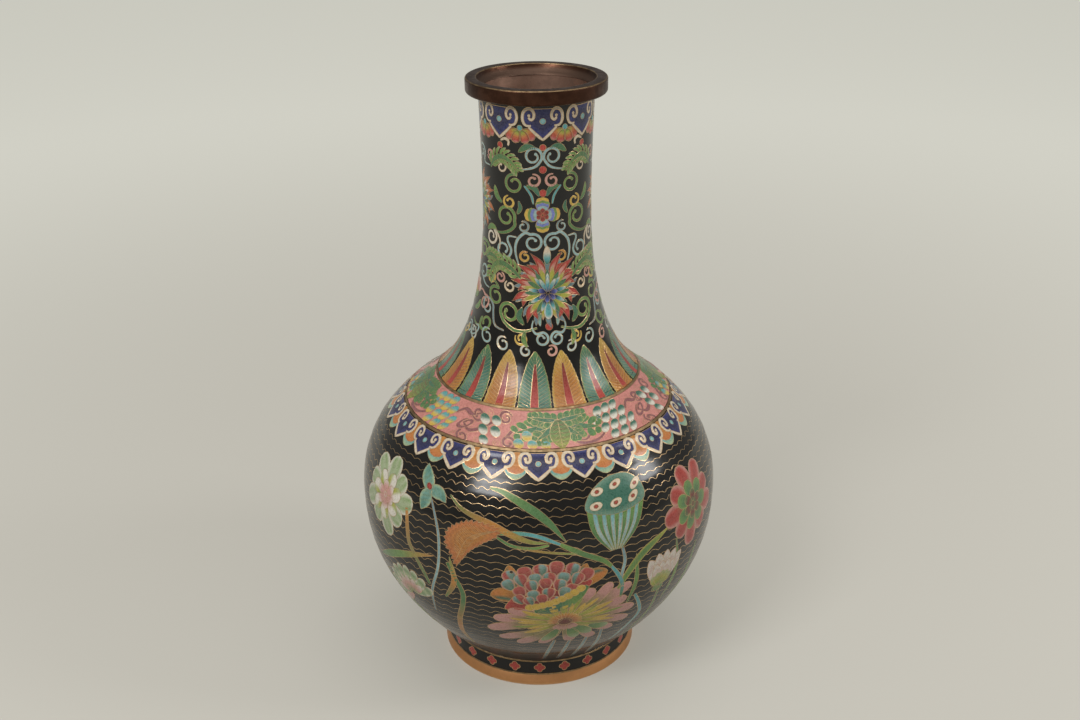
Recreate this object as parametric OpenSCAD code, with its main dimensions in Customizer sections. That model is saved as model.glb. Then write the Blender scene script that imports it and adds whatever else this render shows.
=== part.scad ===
// Cloisonne bottle vase: a spun copper body in three brazed shells, a foot and a mouth rim,
// coats of fired enamel, and the copper ring wires that part one band of decoration from the next.
// Millimetres, +Z up. The origin is the centre of the ring that the vase stands on.

/* [Height] */
// Height from the table to the top of the mouth rim
total_h = 305; // [270:1:370]
// Height of the foot join, where the bowl turns down into the foot
foot_join_z = 17; // [14:0.5:24]
// Height of the widest part of the belly
belly_z = 96; // [75:1:118]
// Height at which the shoulder stops bulging and starts to hollow
shoulder_z = 159.5; // [152:0.5:172]
// How far the narrowest part of the neck lies below the mouth rim
waist_drop = 50.2; // [40:0.2:62]

/* [Radius] */
// Outer radius of the enamelled foot, at its lower edge
foot_r = 49.6; // [41:0.2:60]
// How far the bowl stands out over the foot at the foot join
foot_overhang = 3; // [2.4:0.1:5]
// Outer radius of the belly
belly_r = 90.8; // [75:0.2:110]
// Outer radius of the shoulder where it starts to hollow
shoulder_r = 50.2; // [41:0.2:60]
// Outer radius of the narrowest part of the neck
waist_r = 25.9; // [21:0.1:31]
// Outer radius of the top of the neck
mouth_r = 27; // [22:0.1:33]

/* [Curve] */
// Slope of the bowl at the foot join, in degrees from level
foot_slope = 45; // [38:1:52]
// Slope of the shoulder where it starts to hollow, in degrees from level
shoulder_slope = 42.7; // [36:0.1:52]
// Fullness of the bowl above the foot join, as a share of its rise
foot_fullness = 0.48; // [0.3:0.01:0.6]
// Fullness of the bowl below the belly, as a share of its rise
bowl_fullness = 0.38; // [0.25:0.01:0.55]
// Fullness of the bowl above the belly, as a share of its rise
belly_fullness = 0.61; // [0.4:0.01:0.7]
// Fullness of the shoulder below its turning point, as a share of the rise
shoulder_fullness = 0.3; // [0.2:0.01:0.45]
// Fullness of the hollow above the turning point, as a share of the rise
hollow_fullness = 0.19; // [0.1:0.01:0.3]
// Length of the straight run into the waist, as a share of the rise
waist_run = 0.61; // [0.4:0.01:0.7]
// Length of the curve out of the waist, as a share of the rise
neck_run = 0.38; // [0.2:0.01:0.5]
// Length of the straight run into the mouth, as a share of the rise
mouth_run = 0.25; // [0.1:0.01:0.4]

/* [Metal] */
// Thickness of the copper shells
wall = 1; // [0.8:0.1:1.4]
// Width of the lap behind each brazed seam, on each side of it
seam_lap = 6; // [4:0.5:8]
// Height of the seam between the two halves of the bowl
belly_seam_z = 103; // [95:0.5:110]
// Height of the seam between the bowl and the neck
neck_seam_z = 176; // [172:0.5:182]
// Gap that the braze fills between lapped pieces
braze_gap = 0.05; // [0.02:0.01:0.1]

/* [Mouth rim] */
// Height of the mouth rim
rim_h = 7; // [6:0.1:9]
// How far the mouth rim stands out past the neck
rim_overhang = 6; // [4:0.1:7.5]
// Depth of the socket that holds the top of the neck
rim_socket = 2; // [1.5:0.1:2.5]
// How far the rim's bore stands in from the inside of the neck
rim_ledge = 0.4; // [0.3:0.05:0.7]
// Rounding of the outer edges of the rim
rim_round = 1.5; // [0.8:0.1:2]
// Rounding of the lip at the opening
lip_round = 2.2; // [1.4:0.1:2.6]

/* [Foot] */
// Thickness of the foot wall
foot_wall_t = 1.5; // [1.2:0.1:2]
// Height of the foot rim
foot_rim_h = 5.6; // [5:0.1:6.5]
// How far the foot rim flares out below the enamel
foot_flare = 1.5; // [0.5:0.1:2.5]
// Width of the foot rim inside the foot wall
foot_rim_inner = 1.5; // [1:0.1:3]
// Depth of the groove that holds the foot wall
foot_groove = 2.6; // [2:0.1:3]

/* [Enamel and wire] */
// Thickness of the enamel on the body
enamel_t = 0.9; // [0.6:0.1:1.2]
// Thickness of the enamel on the foot
foot_enamel_t = 0.8; // [0.6:0.1:1]
// Thickness of the enamel under the base
base_enamel_t = 0.8; // [0.5:0.1:1.2]
// Width of the ring wires between the bands
ring_wire_w = 0.8; // [0.5:0.1:1.2]
// How far the ring wires stand proud of the enamel
wire_proud = 0.12; // [0.05:0.01:0.2]
// Height of the ring between the leaves and the grape band
leaf_ring_z = 159; // [154:0.2:164]
// Height of the ring between the grape band and the lappets
grape_ring_z = 145.9; // [140:0.1:150]

/* [Foot flowers] */
// Number of flowers round the foot
flower_count = 24; // [12:2:28]
// Distance of each petal's centre from the middle of its flower
petal_reach = 1.5; // [1.1:0.1:1.8]
// Radius of each petal
petal_r = 1.2; // [0.9:0.1:1.4]
// Width of the wire round each flower
flower_wire_w = 0.3; // [0.2:0.05:0.4]

/* [Hidden] */
$fn = 180;

copper = [0.62, 0.36, 0.2];
bronze = [0.36, 0.25, 0.17];
gilt = [0.75, 0.55, 0.3];
black_glass = [0.08, 0.08, 0.09];
pink_glass = [0.86, 0.52, 0.5];
red_glass = [0.66, 0.18, 0.15];
turquoise_glass = [0.2, 0.6, 0.62];

steps_per_curve = 11; // stations along each stretch of the outline
station_gap = 1.4;    // least height between a station of the curve and a border
solve_steps = 30;     // halvings in the search for a height

neck_top_z = total_h - rim_h;
foot_join_r = foot_r + foot_overhang;
waist_z = neck_top_z - waist_drop;

// Four cubic curves make the outline, each from a point, along a pull, to a point.
function pull(angle, length) = length * [cos(angle), sin(angle)];
foot_point = [foot_join_r, foot_join_z];
belly_point = [belly_r, belly_z];
shoulder_point = [shoulder_r, shoulder_z];
waist_point = [waist_r, waist_z];
mouth_point = [mouth_r, neck_top_z];
shoulder_angle = 180 - shoulder_slope;

function curve(from, to, leave, arrive) = [from, from + leave, to - arrive, to];
bowl_rise = belly_z - foot_join_z;
shoulder_rise = shoulder_z - belly_z;
hollow_rise = waist_z - shoulder_z;
CURVES = [
    curve(foot_point, belly_point,
        pull(foot_slope, foot_fullness * bowl_rise), pull(90, bowl_fullness * bowl_rise)),
    curve(belly_point, shoulder_point,
        pull(90, belly_fullness * shoulder_rise), pull(shoulder_angle, shoulder_fullness * shoulder_rise)),
    curve(shoulder_point, waist_point,
        pull(shoulder_angle, hollow_fullness * hollow_rise), pull(90, waist_run * hollow_rise)),
    curve(waist_point, mouth_point,
        pull(90, neck_run * waist_drop), pull(90, mouth_run * waist_drop))
];

function along(c, t) =
    let (s = 1 - t)
    s * s * s * c[0] + 3 * s * s * t * c[1] + 3 * s * t * t * c[2] + t * t * t * c[3];
function heading(c, t) =
    let (s = 1 - t)
    s * s * (c[1] - c[0]) + 2 * s * t * (c[2] - c[1]) + t * t * (c[3] - c[2]);
function outward(c, t) =
    let (d = heading(c, t))
    [d[1], -d[0]] / norm(d);
// The place along curve c at height z, found by halving
function solve(c, z, low = 0, high = 1, n = solve_steps) =
    let (mid = (low + high) / 2)
    n == 0 ? mid
    : along(c, mid)[1] < z ? solve(c, z, mid, high, n - 1)
    : solve(c, z, low, mid, n - 1);
function curve_at(z) =
    z <= belly_z ? CURVES[0]
    : z <= shoulder_z ? CURVES[1]
    : z <= waist_z ? CURVES[2]
    : CURVES[3];
// The point at height z of the outline, sunk to a depth below the outer surface
function layer(z, depth) =
    let (c = curve_at(z), t = solve(c, z))
    along(c, t) - depth * outward(c, t);

function sorted(v) =
    len(v) < 2 ? v
    : let (p = v[floor(len(v) / 2)])
      concat(sorted([for (x = v) if (x < p) x]), [p], sorted([for (x = v) if (x > p) x]));
half_wire = ring_wire_w / 2;
BORDERS = [
    foot_join_z, belly_seam_z - seam_lap, belly_seam_z, belly_seam_z + seam_lap,
    grape_ring_z - half_wire, grape_ring_z + half_wire,
    leaf_ring_z - half_wire, leaf_ring_z + half_wire,
    neck_seam_z - seam_lap, neck_seam_z, neck_seam_z + seam_lap,
    neck_top_z - ring_wire_w, neck_top_z
];
CURVE_HEIGHTS = [for (c = CURVES) for (i = [0:steps_per_curve - 1]) along(c, i / steps_per_curve)[1]];
HEIGHTS = sorted(concat(BORDERS, [
    for (h = CURVE_HEIGHTS) if (min([for (b = BORDERS) abs(h - b)]) > station_gap) h
]));
function heights(low, high) = [for (h = HEIGHTS) if (h >= low && h <= high) h];
function reversed(v) = [for (i = [len(v) - 1:-1:0]) v[i]];
function rising(low, high, depth) = [for (h = heights(low, high)) layer(h, depth)];
function falling(high, low, depth) = reversed(rising(low, high, depth));
function arc(centre, r, from, to, n = 6) =
    [for (i = [0:n]) centre + r * [cos(from + (to - from) * i / n), sin(from + (to - from) * i / n)]];

// Below the foot join the bowl runs on as a cone to the foot.
function cone_z(r, depth) =
    foot_join_z + depth * cos(foot_slope) - (foot_join_r - depth * sin(foot_slope) - r) * tan(foot_slope);
function cone_point(r, depth) =
    [r - depth * sin(foot_slope), cone_z(r, 0) + depth * cos(foot_slope)];

shell_in = enamel_t + wall;
collar_out = shell_in + braze_gap;
collar_in = collar_out + wall;

foot_metal_r = foot_r - foot_enamel_t;
foot_wall_in = foot_metal_r - foot_wall_t;
floor_lap = 1;
floor_r = foot_wall_in - floor_lap;
floor_z = cone_z(floor_r, enamel_t);
floor_top_r = floor_r + wall / tan(foot_slope) - wall / sin(foot_slope);
foot_groove_z = foot_rim_h - foot_groove;
foot_top_wire_h = 0.5;
foot_enamel_top = cone_z(foot_metal_r, enamel_t) - foot_top_wire_h;
foot_enamel_base = foot_rim_h + ring_wire_w;
foot_lean = 0.3; // how much wider the enamelled foot is at its top
belly_hem_r = foot_r + foot_lean + 0.4;
flower_z = (foot_enamel_base + foot_enamel_top) / 2;

rim_r = mouth_r + rim_overhang;
rim_bore_r = mouth_r - shell_in - rim_ledge;
socket_r = mouth_r - enamel_t + braze_gap;
socket_z = neck_top_z + rim_socket;

// ---- copper ----
module lower_bowl() {
    color(copper) rotate_extrude() polygon(concat(
        [[0, floor_z], [floor_r, floor_z]],
        rising(foot_join_z, belly_seam_z, enamel_t),
        falling(belly_seam_z, foot_join_z, shell_in),
        [[floor_top_r, floor_z + wall], [0, floor_z + wall]]
    ));
}

// A shell with a collar inside its lower edge, which laps behind the shell below it
module lapped_shell(low, high, top = []) {
    rotate_extrude() polygon(concat(
        rising(low, high, enamel_t),
        top,
        falling(high, low + seam_lap, shell_in),
        falling(low + seam_lap, low - seam_lap, collar_in),
        rising(low - seam_lap, low, collar_out)
    ));
}

module upper_bowl() {
    color(copper) lapped_shell(belly_seam_z, neck_seam_z);
}

module neck_tube() {
    tube_top = socket_z - braze_gap;
    color(copper) lapped_shell(neck_seam_z, neck_top_z,
        [[mouth_r - enamel_t, tube_top], [mouth_r - shell_in, tube_top]]);
}

module foot_wall() {
    color(copper) rotate_extrude() polygon([
        [foot_wall_in, foot_groove_z],
        [foot_metal_r, foot_groove_z],
        [foot_metal_r, cone_z(foot_metal_r, enamel_t) - braze_gap],
        [foot_wall_in, cone_z(foot_wall_in, enamel_t) - braze_gap]
    ]);
}

module foot_rim() {
    color(copper) rotate_extrude() polygon([
        [foot_wall_in - foot_rim_inner, 0],
        [foot_r + foot_flare, 0],
        [foot_r, foot_rim_h],
        [foot_metal_r + braze_gap, foot_rim_h],
        [foot_metal_r + braze_gap, foot_groove_z],
        [foot_wall_in - braze_gap, foot_groove_z],
        [foot_wall_in - braze_gap, foot_rim_h],
        [foot_wall_in - foot_rim_inner, foot_rim_h]
    ]);
}

module mouth_rim() {
    color(bronze) rotate_extrude() polygon(concat(
        [[socket_r, neck_top_z]],
        arc([rim_r - rim_round, neck_top_z + rim_round], rim_round, -90, 0),
        arc([rim_r - rim_round, total_h - rim_round], rim_round, 0, 90),
        arc([rim_bore_r + lip_round, total_h - lip_round], lip_round, 90, 180),
        [[rim_bore_r, socket_z], [socket_r, socket_z]]
    ));
}

// ---- enamel ----
module enamel_coat(low, high, hem = []) {
    rotate_extrude() polygon(concat(
        rising(low, high, 0),
        falling(high, low, enamel_t),
        hem
    ));
}

module neck_enamel() {
    color(black_glass) enamel_coat(leaf_ring_z + half_wire, neck_top_z - ring_wire_w);
}

module grape_band_enamel() {
    color(pink_glass) enamel_coat(grape_ring_z + half_wire, leaf_ring_z - half_wire);
}

module belly_enamel() {
    color(black_glass) enamel_coat(foot_join_z, grape_ring_z - half_wire,
        [cone_point(belly_hem_r, enamel_t), cone_point(belly_hem_r, 0)]);
}

module foot_band() {
    rotate_extrude() polygon([
        [foot_metal_r, foot_enamel_base],
        [foot_r, foot_enamel_base],
        [foot_r + foot_lean, foot_enamel_top],
        [foot_metal_r, foot_enamel_top]
    ]);
}

// The upright prisms of the foot flowers, each grown by a margin
module flower_prisms(margin) {
    for (i = [0:flower_count - 1]) rotate([0, 0, i * 360 / flower_count]) {
        translate([foot_metal_r - 1, 0, flower_z]) rotate([90, 0, 90]) linear_extrude(foot_enamel_t + 3) {
            for (a = [0:90:270]) rotate(a) translate([petal_reach, 0]) circle(petal_r + margin, $fn = 32);
            circle(petal_reach, $fn = 32);
        }
    }
}

module foot_enamel() {
    color(black_glass) difference() {
        foot_band();
        flower_prisms(flower_wire_w);
    }
}

module foot_flower_wires() {
    color(gilt) intersection() {
        foot_band();
        difference() {
            flower_prisms(flower_wire_w);
            flower_prisms(0);
        }
    }
}

module foot_flower_enamel() {
    color(red_glass) intersection() {
        foot_band();
        flower_prisms(0);
    }
}

module base_enamel() {
    color(turquoise_glass) translate([0, 0, floor_z - base_enamel_t])
        cylinder(h = base_enamel_t, r = floor_r - 0.3);
}

// ---- ring wires ----
module ring_wire(low, high) {
    color(gilt) rotate_extrude() polygon(concat(
        rising(low, high, -wire_proud),
        falling(high, low, enamel_t)
    ));
}

module mouth_wire() {
    ring_wire(neck_top_z - ring_wire_w, neck_top_z);
}

module leaf_base_wire() {
    ring_wire(leaf_ring_z - half_wire, leaf_ring_z + half_wire);
}

module grape_base_wire() {
    ring_wire(grape_ring_z - half_wire, grape_ring_z + half_wire);
}

module foot_top_wire() {
    color(gilt) rotate_extrude() polygon([
        [foot_metal_r, foot_enamel_top],
        [belly_hem_r, foot_enamel_top],
        cone_point(belly_hem_r, 0),
        cone_point(belly_hem_r, enamel_t),
        [foot_metal_r, cone_z(foot_metal_r, enamel_t)]
    ]);
}

module foot_bottom_wire() {
    color(gilt) rotate_extrude() polygon([
        [foot_metal_r, foot_rim_h],
        [foot_r + wire_proud, foot_rim_h],
        [foot_r + wire_proud, foot_enamel_base],
        [foot_metal_r, foot_enamel_base]
    ]);
}

lower_bowl();
upper_bowl();
neck_tube();
foot_wall();
foot_rim();
mouth_rim();
neck_enamel();
grape_band_enamel();
belly_enamel();
foot_enamel();
base_enamel();
mouth_wire();
leaf_base_wire();
grape_base_wire();
foot_top_wire();
foot_bottom_wire();
foot_flower_wires();
foot_flower_enamel();
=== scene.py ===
import math

import bpy
import numpy as np
from bpy.props import FloatProperty, FloatVectorProperty, IntProperty, PointerProperty
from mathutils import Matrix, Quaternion, Vector
from mathutils.bvhtree import BVHTree


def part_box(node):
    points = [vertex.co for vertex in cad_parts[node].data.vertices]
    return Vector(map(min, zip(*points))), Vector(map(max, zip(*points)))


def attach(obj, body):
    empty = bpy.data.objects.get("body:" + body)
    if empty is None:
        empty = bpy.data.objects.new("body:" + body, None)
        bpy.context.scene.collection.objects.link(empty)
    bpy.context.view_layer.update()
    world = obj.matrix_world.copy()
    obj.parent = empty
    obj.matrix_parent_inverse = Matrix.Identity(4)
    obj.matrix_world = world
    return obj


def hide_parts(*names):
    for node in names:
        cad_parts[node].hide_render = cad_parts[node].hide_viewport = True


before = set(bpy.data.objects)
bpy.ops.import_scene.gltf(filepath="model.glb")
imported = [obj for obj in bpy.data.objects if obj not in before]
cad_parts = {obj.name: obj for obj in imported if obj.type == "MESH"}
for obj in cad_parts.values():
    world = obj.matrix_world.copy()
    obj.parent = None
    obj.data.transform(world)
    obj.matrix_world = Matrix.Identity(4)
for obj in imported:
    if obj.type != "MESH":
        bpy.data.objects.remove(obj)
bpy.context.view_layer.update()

bl_info = {
    "name": "Cloisonne Bottle Vase",
    "version": (1, 0, 0),
    "blender": (4, 5, 0),
    "location": "3D View > Sidebar > Vase",
    "description": "Enamel coats, coloured cells and gilt wires for a cloisonne bottle vase",
    "category": "Object",
}

MM = 0.001
BODY = "root"
COATS = ("belly_enamel", "grape_band_enamel", "neck_enamel")


# ---- the outer surface ----

def mesh_rings(names):
    """The outer rings of corners of some coats, as rows of radius and height in millimetres."""
    levels = {}
    trees = []
    for name in names:
        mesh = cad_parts[name].data
        corners = [v.co for v in mesh.vertices]
        trees.append(BVHTree.FromPolygons(corners, [p.vertices for p in mesh.polygons]))
        for co in corners:
            level = round(co.z / MM, 2)
            levels[level] = max(levels.get(level, 0), math.hypot(co.x, co.y) / MM)
    rings = []
    for level, radius in sorted(levels.items()):
        start = Vector((1, 0, level * MM))
        hits = [tree.ray_cast(start, Vector((-1, 0, 0)))[0] for tree in trees]
        outer = max((hit.x / MM for hit in hits if hit), default=0)
        if radius > outer - 0.15:
            rings.append((radius, level))
    return np.array(rings)


class Skin:
    """The outer surface: places on it go by angle, in degrees from the front towards the right,
    and by arc, in millimetres up the outline from the foot join."""

    STEP = 0.5

    def __init__(self, names):
        rings = mesh_rings(names)
        apart = np.hypot(*np.diff(rings, axis=0).T)
        rings = rings[np.concatenate([[True], apart > 0.3])]
        knots = np.concatenate([[0], np.cumsum(np.hypot(*np.diff(rings, axis=0).T))])
        slopes = np.gradient(rings, knots, axis=0)
        fine = np.arange(0, knots[-1], self.STEP / 4)
        k = np.clip(np.searchsorted(knots, fine, side="right") - 1, 0, len(knots) - 2)
        width = (knots[k + 1] - knots[k])[:, None]
        t = ((fine - knots[k]) / width[:, 0])[:, None]
        points = (
            rings[k] * (1 + 2 * t) * (1 - t) ** 2
            + rings[k + 1] * t * t * (3 - 2 * t)
            + width * (slopes[k] * t * (1 - t) ** 2 - slopes[k + 1] * t * t * (1 - t))
        )
        lengths = np.concatenate([[0], np.cumsum(np.hypot(*np.diff(points, axis=0).T))])
        join = np.interp(rings[1][1], points[:, 1], lengths)
        self.arcs = lengths - join
        self.radii = points[:, 0]
        self.heights = points[:, 1]
        ahead = np.gradient(points, lengths, axis=0)
        ahead /= np.hypot(*ahead.T)[:, None]
        self.out = ahead[:, 1]
        self.up = -ahead[:, 0]
        self.low = self.arcs[0]
        self.high = self.arcs[-1]

    def radius(self, arc):
        return np.interp(arc, self.arcs, self.radii)

    def arc_at(self, height):
        """The arc at a height above the table, in millimetres."""
        return float(np.interp(height, self.heights, self.arcs))

    def profile(self, arc, depth):
        """Radius and height of places on the outline, sunk by a depth."""
        out = np.interp(arc, self.arcs, self.out)
        up = np.interp(arc, self.arcs, self.up)
        radius = self.radius(arc) - depth * out
        height = np.interp(arc, self.arcs, self.heights) - depth * up
        return radius, height

    def places(self, spots, depth):
        """Points in metres of rows of angle and arc, sunk by a depth in millimetres."""
        radius, height = self.profile(spots[:, 1], depth)
        turn = np.radians(spots[:, 0])
        return np.stack([radius * np.sin(turn), -radius * np.cos(turn), height], 1) * MM


SKIN = Skin(COATS)
COAT_DEPTH = 0.17   # how far the enamel's ground lies below the rings' own surface
COAT_BACK = 0.88    # where a coat ends against the copper
LAYER = 0.02        # how much each layer of cells stands over the one below
CELL_BASE = 0.04    # how far the first layer stands over the ground
CELL_THICK = 0.1    # how thick a cell is, inwards
CREASE = 35         # faces that meet at a greater angle, in degrees, keep a sharp edge
WIRE_RISE = 0.015   # how far a wire's crest stands over its cell


def lift(layer):
    return COAT_DEPTH - CELL_BASE - LAYER * layer


# ---- colours ----

def tone(name, description, default):
    return FloatVectorProperty(
        name=name, description=description, subtype="COLOR", size=3, min=0, max=1, default=default
    )


class VaseTones(bpy.types.PropertyGroup):
    """Colours of the enamels and metals."""

    black: tone("Black", "Ground of the neck, belly and foot", (0.0065, 0.006, 0.005))
    pink_ground: tone("Pink ground", "Ground of the grape band", (0.56, 0.225, 0.19))
    cobalt: tone("Cobalt", "Fields of the lappets", (0.0125, 0.013, 0.062))
    cream: tone("Cream", "Outlines of the lappets", (0.62, 0.52, 0.38))
    turquoise: tone("Turquoise", "Dots, drops and stems", (0.1, 0.33, 0.33))
    pale_blue: tone("Pale blue", "Scrolls", (0.28, 0.43, 0.42))
    grey_blue: tone("Grey blue", "Scrolls in shade", (0.14, 0.21, 0.23))
    lavender: tone("Lavender", "Inner petals", (0.17, 0.21, 0.48))
    deep_blue: tone("Deep blue", "Hearts of the flowers", (0.022, 0.03, 0.15))
    green: tone("Green", "Leaves and stems", (0.075, 0.175, 0.06))
    leaf_green: tone("Leaf green", "Bright leaves", (0.15, 0.27, 0.065))
    teal: tone("Teal", "Upright leaves and pods", (0.035, 0.135, 0.092))
    sage: tone("Sage", "Greyed leaves", (0.15, 0.26, 0.185))
    olive: tone("Olive", "Rays of the wide flower", (0.25, 0.21, 0.075))
    pale_green: tone("Pale green", "Leaf tips", (0.37, 0.44, 0.24))
    yellow_green: tone("Yellow green", "Inner petals", (0.36, 0.36, 0.05))
    yellow: tone("Yellow", "Tips and curls", (0.6, 0.4, 0.07))
    ochre: tone("Ochre", "Upright leaves and pendants", (0.47, 0.19, 0.035))
    orange: tone("Orange", "Petals", (0.5, 0.16, 0.05))
    red: tone("Red", "Petals, ribs and dots", (0.42, 0.052, 0.038))
    dark_red: tone("Dark red", "Hollows of red petals", (0.17, 0.025, 0.02))
    rose: tone("Rose", "Pink petals and curls", (0.55, 0.28, 0.24))
    white: tone("White", "Tips of petals", (0.66, 0.62, 0.53))
    purple: tone("Purple brown", "Tendrils", (0.25, 0.095, 0.1))
    brown: tone("Brown", "Hearts and shadows", (0.15, 0.06, 0.03))
    gilt: tone("Gilt", "Cell wires", (0.66, 0.45, 0.24))
    bronze: tone("Bronze", "Mouth rim", (0.075, 0.034, 0.021))
    foot_copper: tone("Foot copper", "Foot rim", (0.66, 0.33, 0.145))
    copper: tone("Body copper", "Inside of the shells", (0.52, 0.33, 0.245))
    # A lighter brown painted inside the mouth, to even out the shade of its sloping wall against the tube.
    throat: tone("Throat", "Metal inside the mouth", (0.105, 0.064, 0.046))
    base: tone("Base enamel", "Counter enamel under the floor", (0.05, 0.24, 0.28))


class VaseSizes(bpy.types.PropertyGroup):
    """Counts and sizes of the decoration, in millimetres."""

    mouth_lappets: IntProperty(
        name="Mouth lappets", description="Lappets round the top of the neck", default=8, min=4, max=12
    )
    lappets: IntProperty(
        name="Lappets", description="Lappets round the shoulder", default=22, min=12, max=30
    )
    wave_rows: IntProperty(
        name="Wave rows", description="Rows of wave wires on the belly", default=29, min=0, max=60
    )
    wire: FloatProperty(
        name="Wire", description="Width of the cell wires, in millimetres", default=0.3, min=0.15, max=0.5
    )
    ring_steps: IntProperty(
        name="Ring steps", description="Faces round each turned piece", default=288, min=96, max=360
    )


def tones():
    return bpy.context.scene.vase_tones


def sizes():
    return bpy.context.scene.vase_sizes


def hue(name):
    return np.array(getattr(tones(), name)[:], float)


def mix(a, b, share):
    return a + (b - a) * share


def along(*names):
    """A tint that runs through some colours from a cell's foot to its tip."""
    stops = np.array([hue(n) for n in names])
    places = np.linspace(0, 1, len(stops))

    def tint(far, side):
        return np.stack([np.interp(far, places, stops[:, c]) for c in range(3)], -1)

    return tint


def plain(name):
    """A tint of one colour."""
    return along(name, name)


def halved(left, right):
    """One tint on the left of a cell's path and another on its right."""
    return lambda far, side: np.where(side[..., None] > 0, left(far, side), right(far, side))


def falling(*names):
    """A tint that runs through some colours from the top of a patch to its bottom."""
    run = along(*names)
    return lambda far, side: run(0.5 - 0.5 * far * np.sin(side), side)


def hatched(tint, other, rows, lean=1.6, depth=0.6):
    """A tint with slanting stripes of another colour, as a feathery leaf has."""
    def striped(far, side):
        wave = 0.5 + 0.5 * np.sin(math.tau * (far * rows - np.abs(side) * lean))
        return mix(tint(far, side), hue(other), (wave * depth)[..., None])

    return striped


def edged(inner, edge, share=0.72):
    """A tint along a cell with another colour on its last stretch to the edge."""
    def tint(far, side):
        rim = np.clip((np.maximum(np.abs(side), far) - share) / (1 - share), 0, 1)[..., None]
        return mix(inner(far, side), hue(edge), rim * rim * (3 - 2 * rim))

    return tint


# ---- shapes on the skin ----

class Spot:
    """A place on the skin with its own flat axes in millimetres: right and up."""

    def __init__(self, angle, arc=0.0, turn=0.0, flip=False, size=1.0):
        self.angle = angle
        self.arc = arc
        self.turn = math.radians(turn)
        self.flip = flip
        self.size = size

    def on(self, flat):
        """Angles and arcs of flat points."""
        flat = np.asarray(flat, float) * self.size
        x = flat[..., 0] * math.cos(self.turn) + flat[..., 1] * math.sin(self.turn)
        y = flat[..., 1] * math.cos(self.turn) - flat[..., 0] * math.sin(self.turn)
        if self.flip:
            x = -x
        arc = self.arc + y
        return np.stack([self.angle + np.degrees(x / SKIN.radius(arc)), arc], -1)

    def at(self, x, y, turn=0.0, flip=False, size=1.0):
        """A spot placed on this one's axes."""
        angle, arc = self.on((x, y))
        placed = Spot(angle, arc, turn, self.flip != flip, self.size * size)
        placed.turn += self.turn
        return placed


def spaced(path, step, closed=False):
    """A path as evenly spaced points no further apart than a step."""
    path = np.asarray(path, float)
    if closed:
        path = np.concatenate([path, path[:1]])
    run = np.concatenate([[0], np.cumsum(np.hypot(*np.diff(path, axis=0).T))])
    count = max(3, int(math.ceil(run[-1] / step)) + 1)
    far = np.linspace(0, run[-1], count)
    points = np.stack([np.interp(far, run, path[:, c]) for c in range(2)], 1)
    return points[:-1] if closed else points


def smooth(points, step=0.8, closed=False):
    """A smooth curve through points, evenly spaced."""
    p = np.asarray(points, float)
    if closed:
        p = np.concatenate([p[-1:], p, p[:2]])
    else:
        p = np.concatenate([[2 * p[0] - p[1]], p, [2 * p[-1] - p[-2]]])
    t = np.linspace(0, 1, 9)[:-1, None]
    pieces = []
    for a, b, c, d in zip(p, p[1:], p[2:], p[3:]):
        pieces.append(0.5 * (2 * b + (c - a) * t + (2 * a - 5 * b + 4 * c - d) * t * t
                             + (3 * b - a - 3 * c + d) * t ** 3))
    if not closed:
        pieces.append(p[-2:-1])
    return spaced(np.concatenate(pieces), step, closed)


def sideways(path, closed=False):
    """Unit vectors to the left of a path at each point."""
    if closed:
        ahead = np.roll(path, -1, 0) - np.roll(path, 1, 0)
    else:
        ahead = np.gradient(path, axis=0)
    ahead /= np.maximum(np.hypot(*ahead.T), 1e-9)[:, None]
    return np.stack([-ahead[:, 1], ahead[:, 0]], 1)


def curl(centre, radius, start, sweep, tighten=0.62):
    """Points of a curl that winds inwards from its start angle, in degrees."""
    count = max(6, int(abs(sweep) / 24))
    far = np.linspace(0, 1, count)
    turn = np.radians(start + sweep * far)
    reach = radius * (1 - tighten * far ** 2)
    return np.stack([centre[0] + reach * np.cos(turn), centre[1] + reach * np.sin(turn)], 1)


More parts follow.
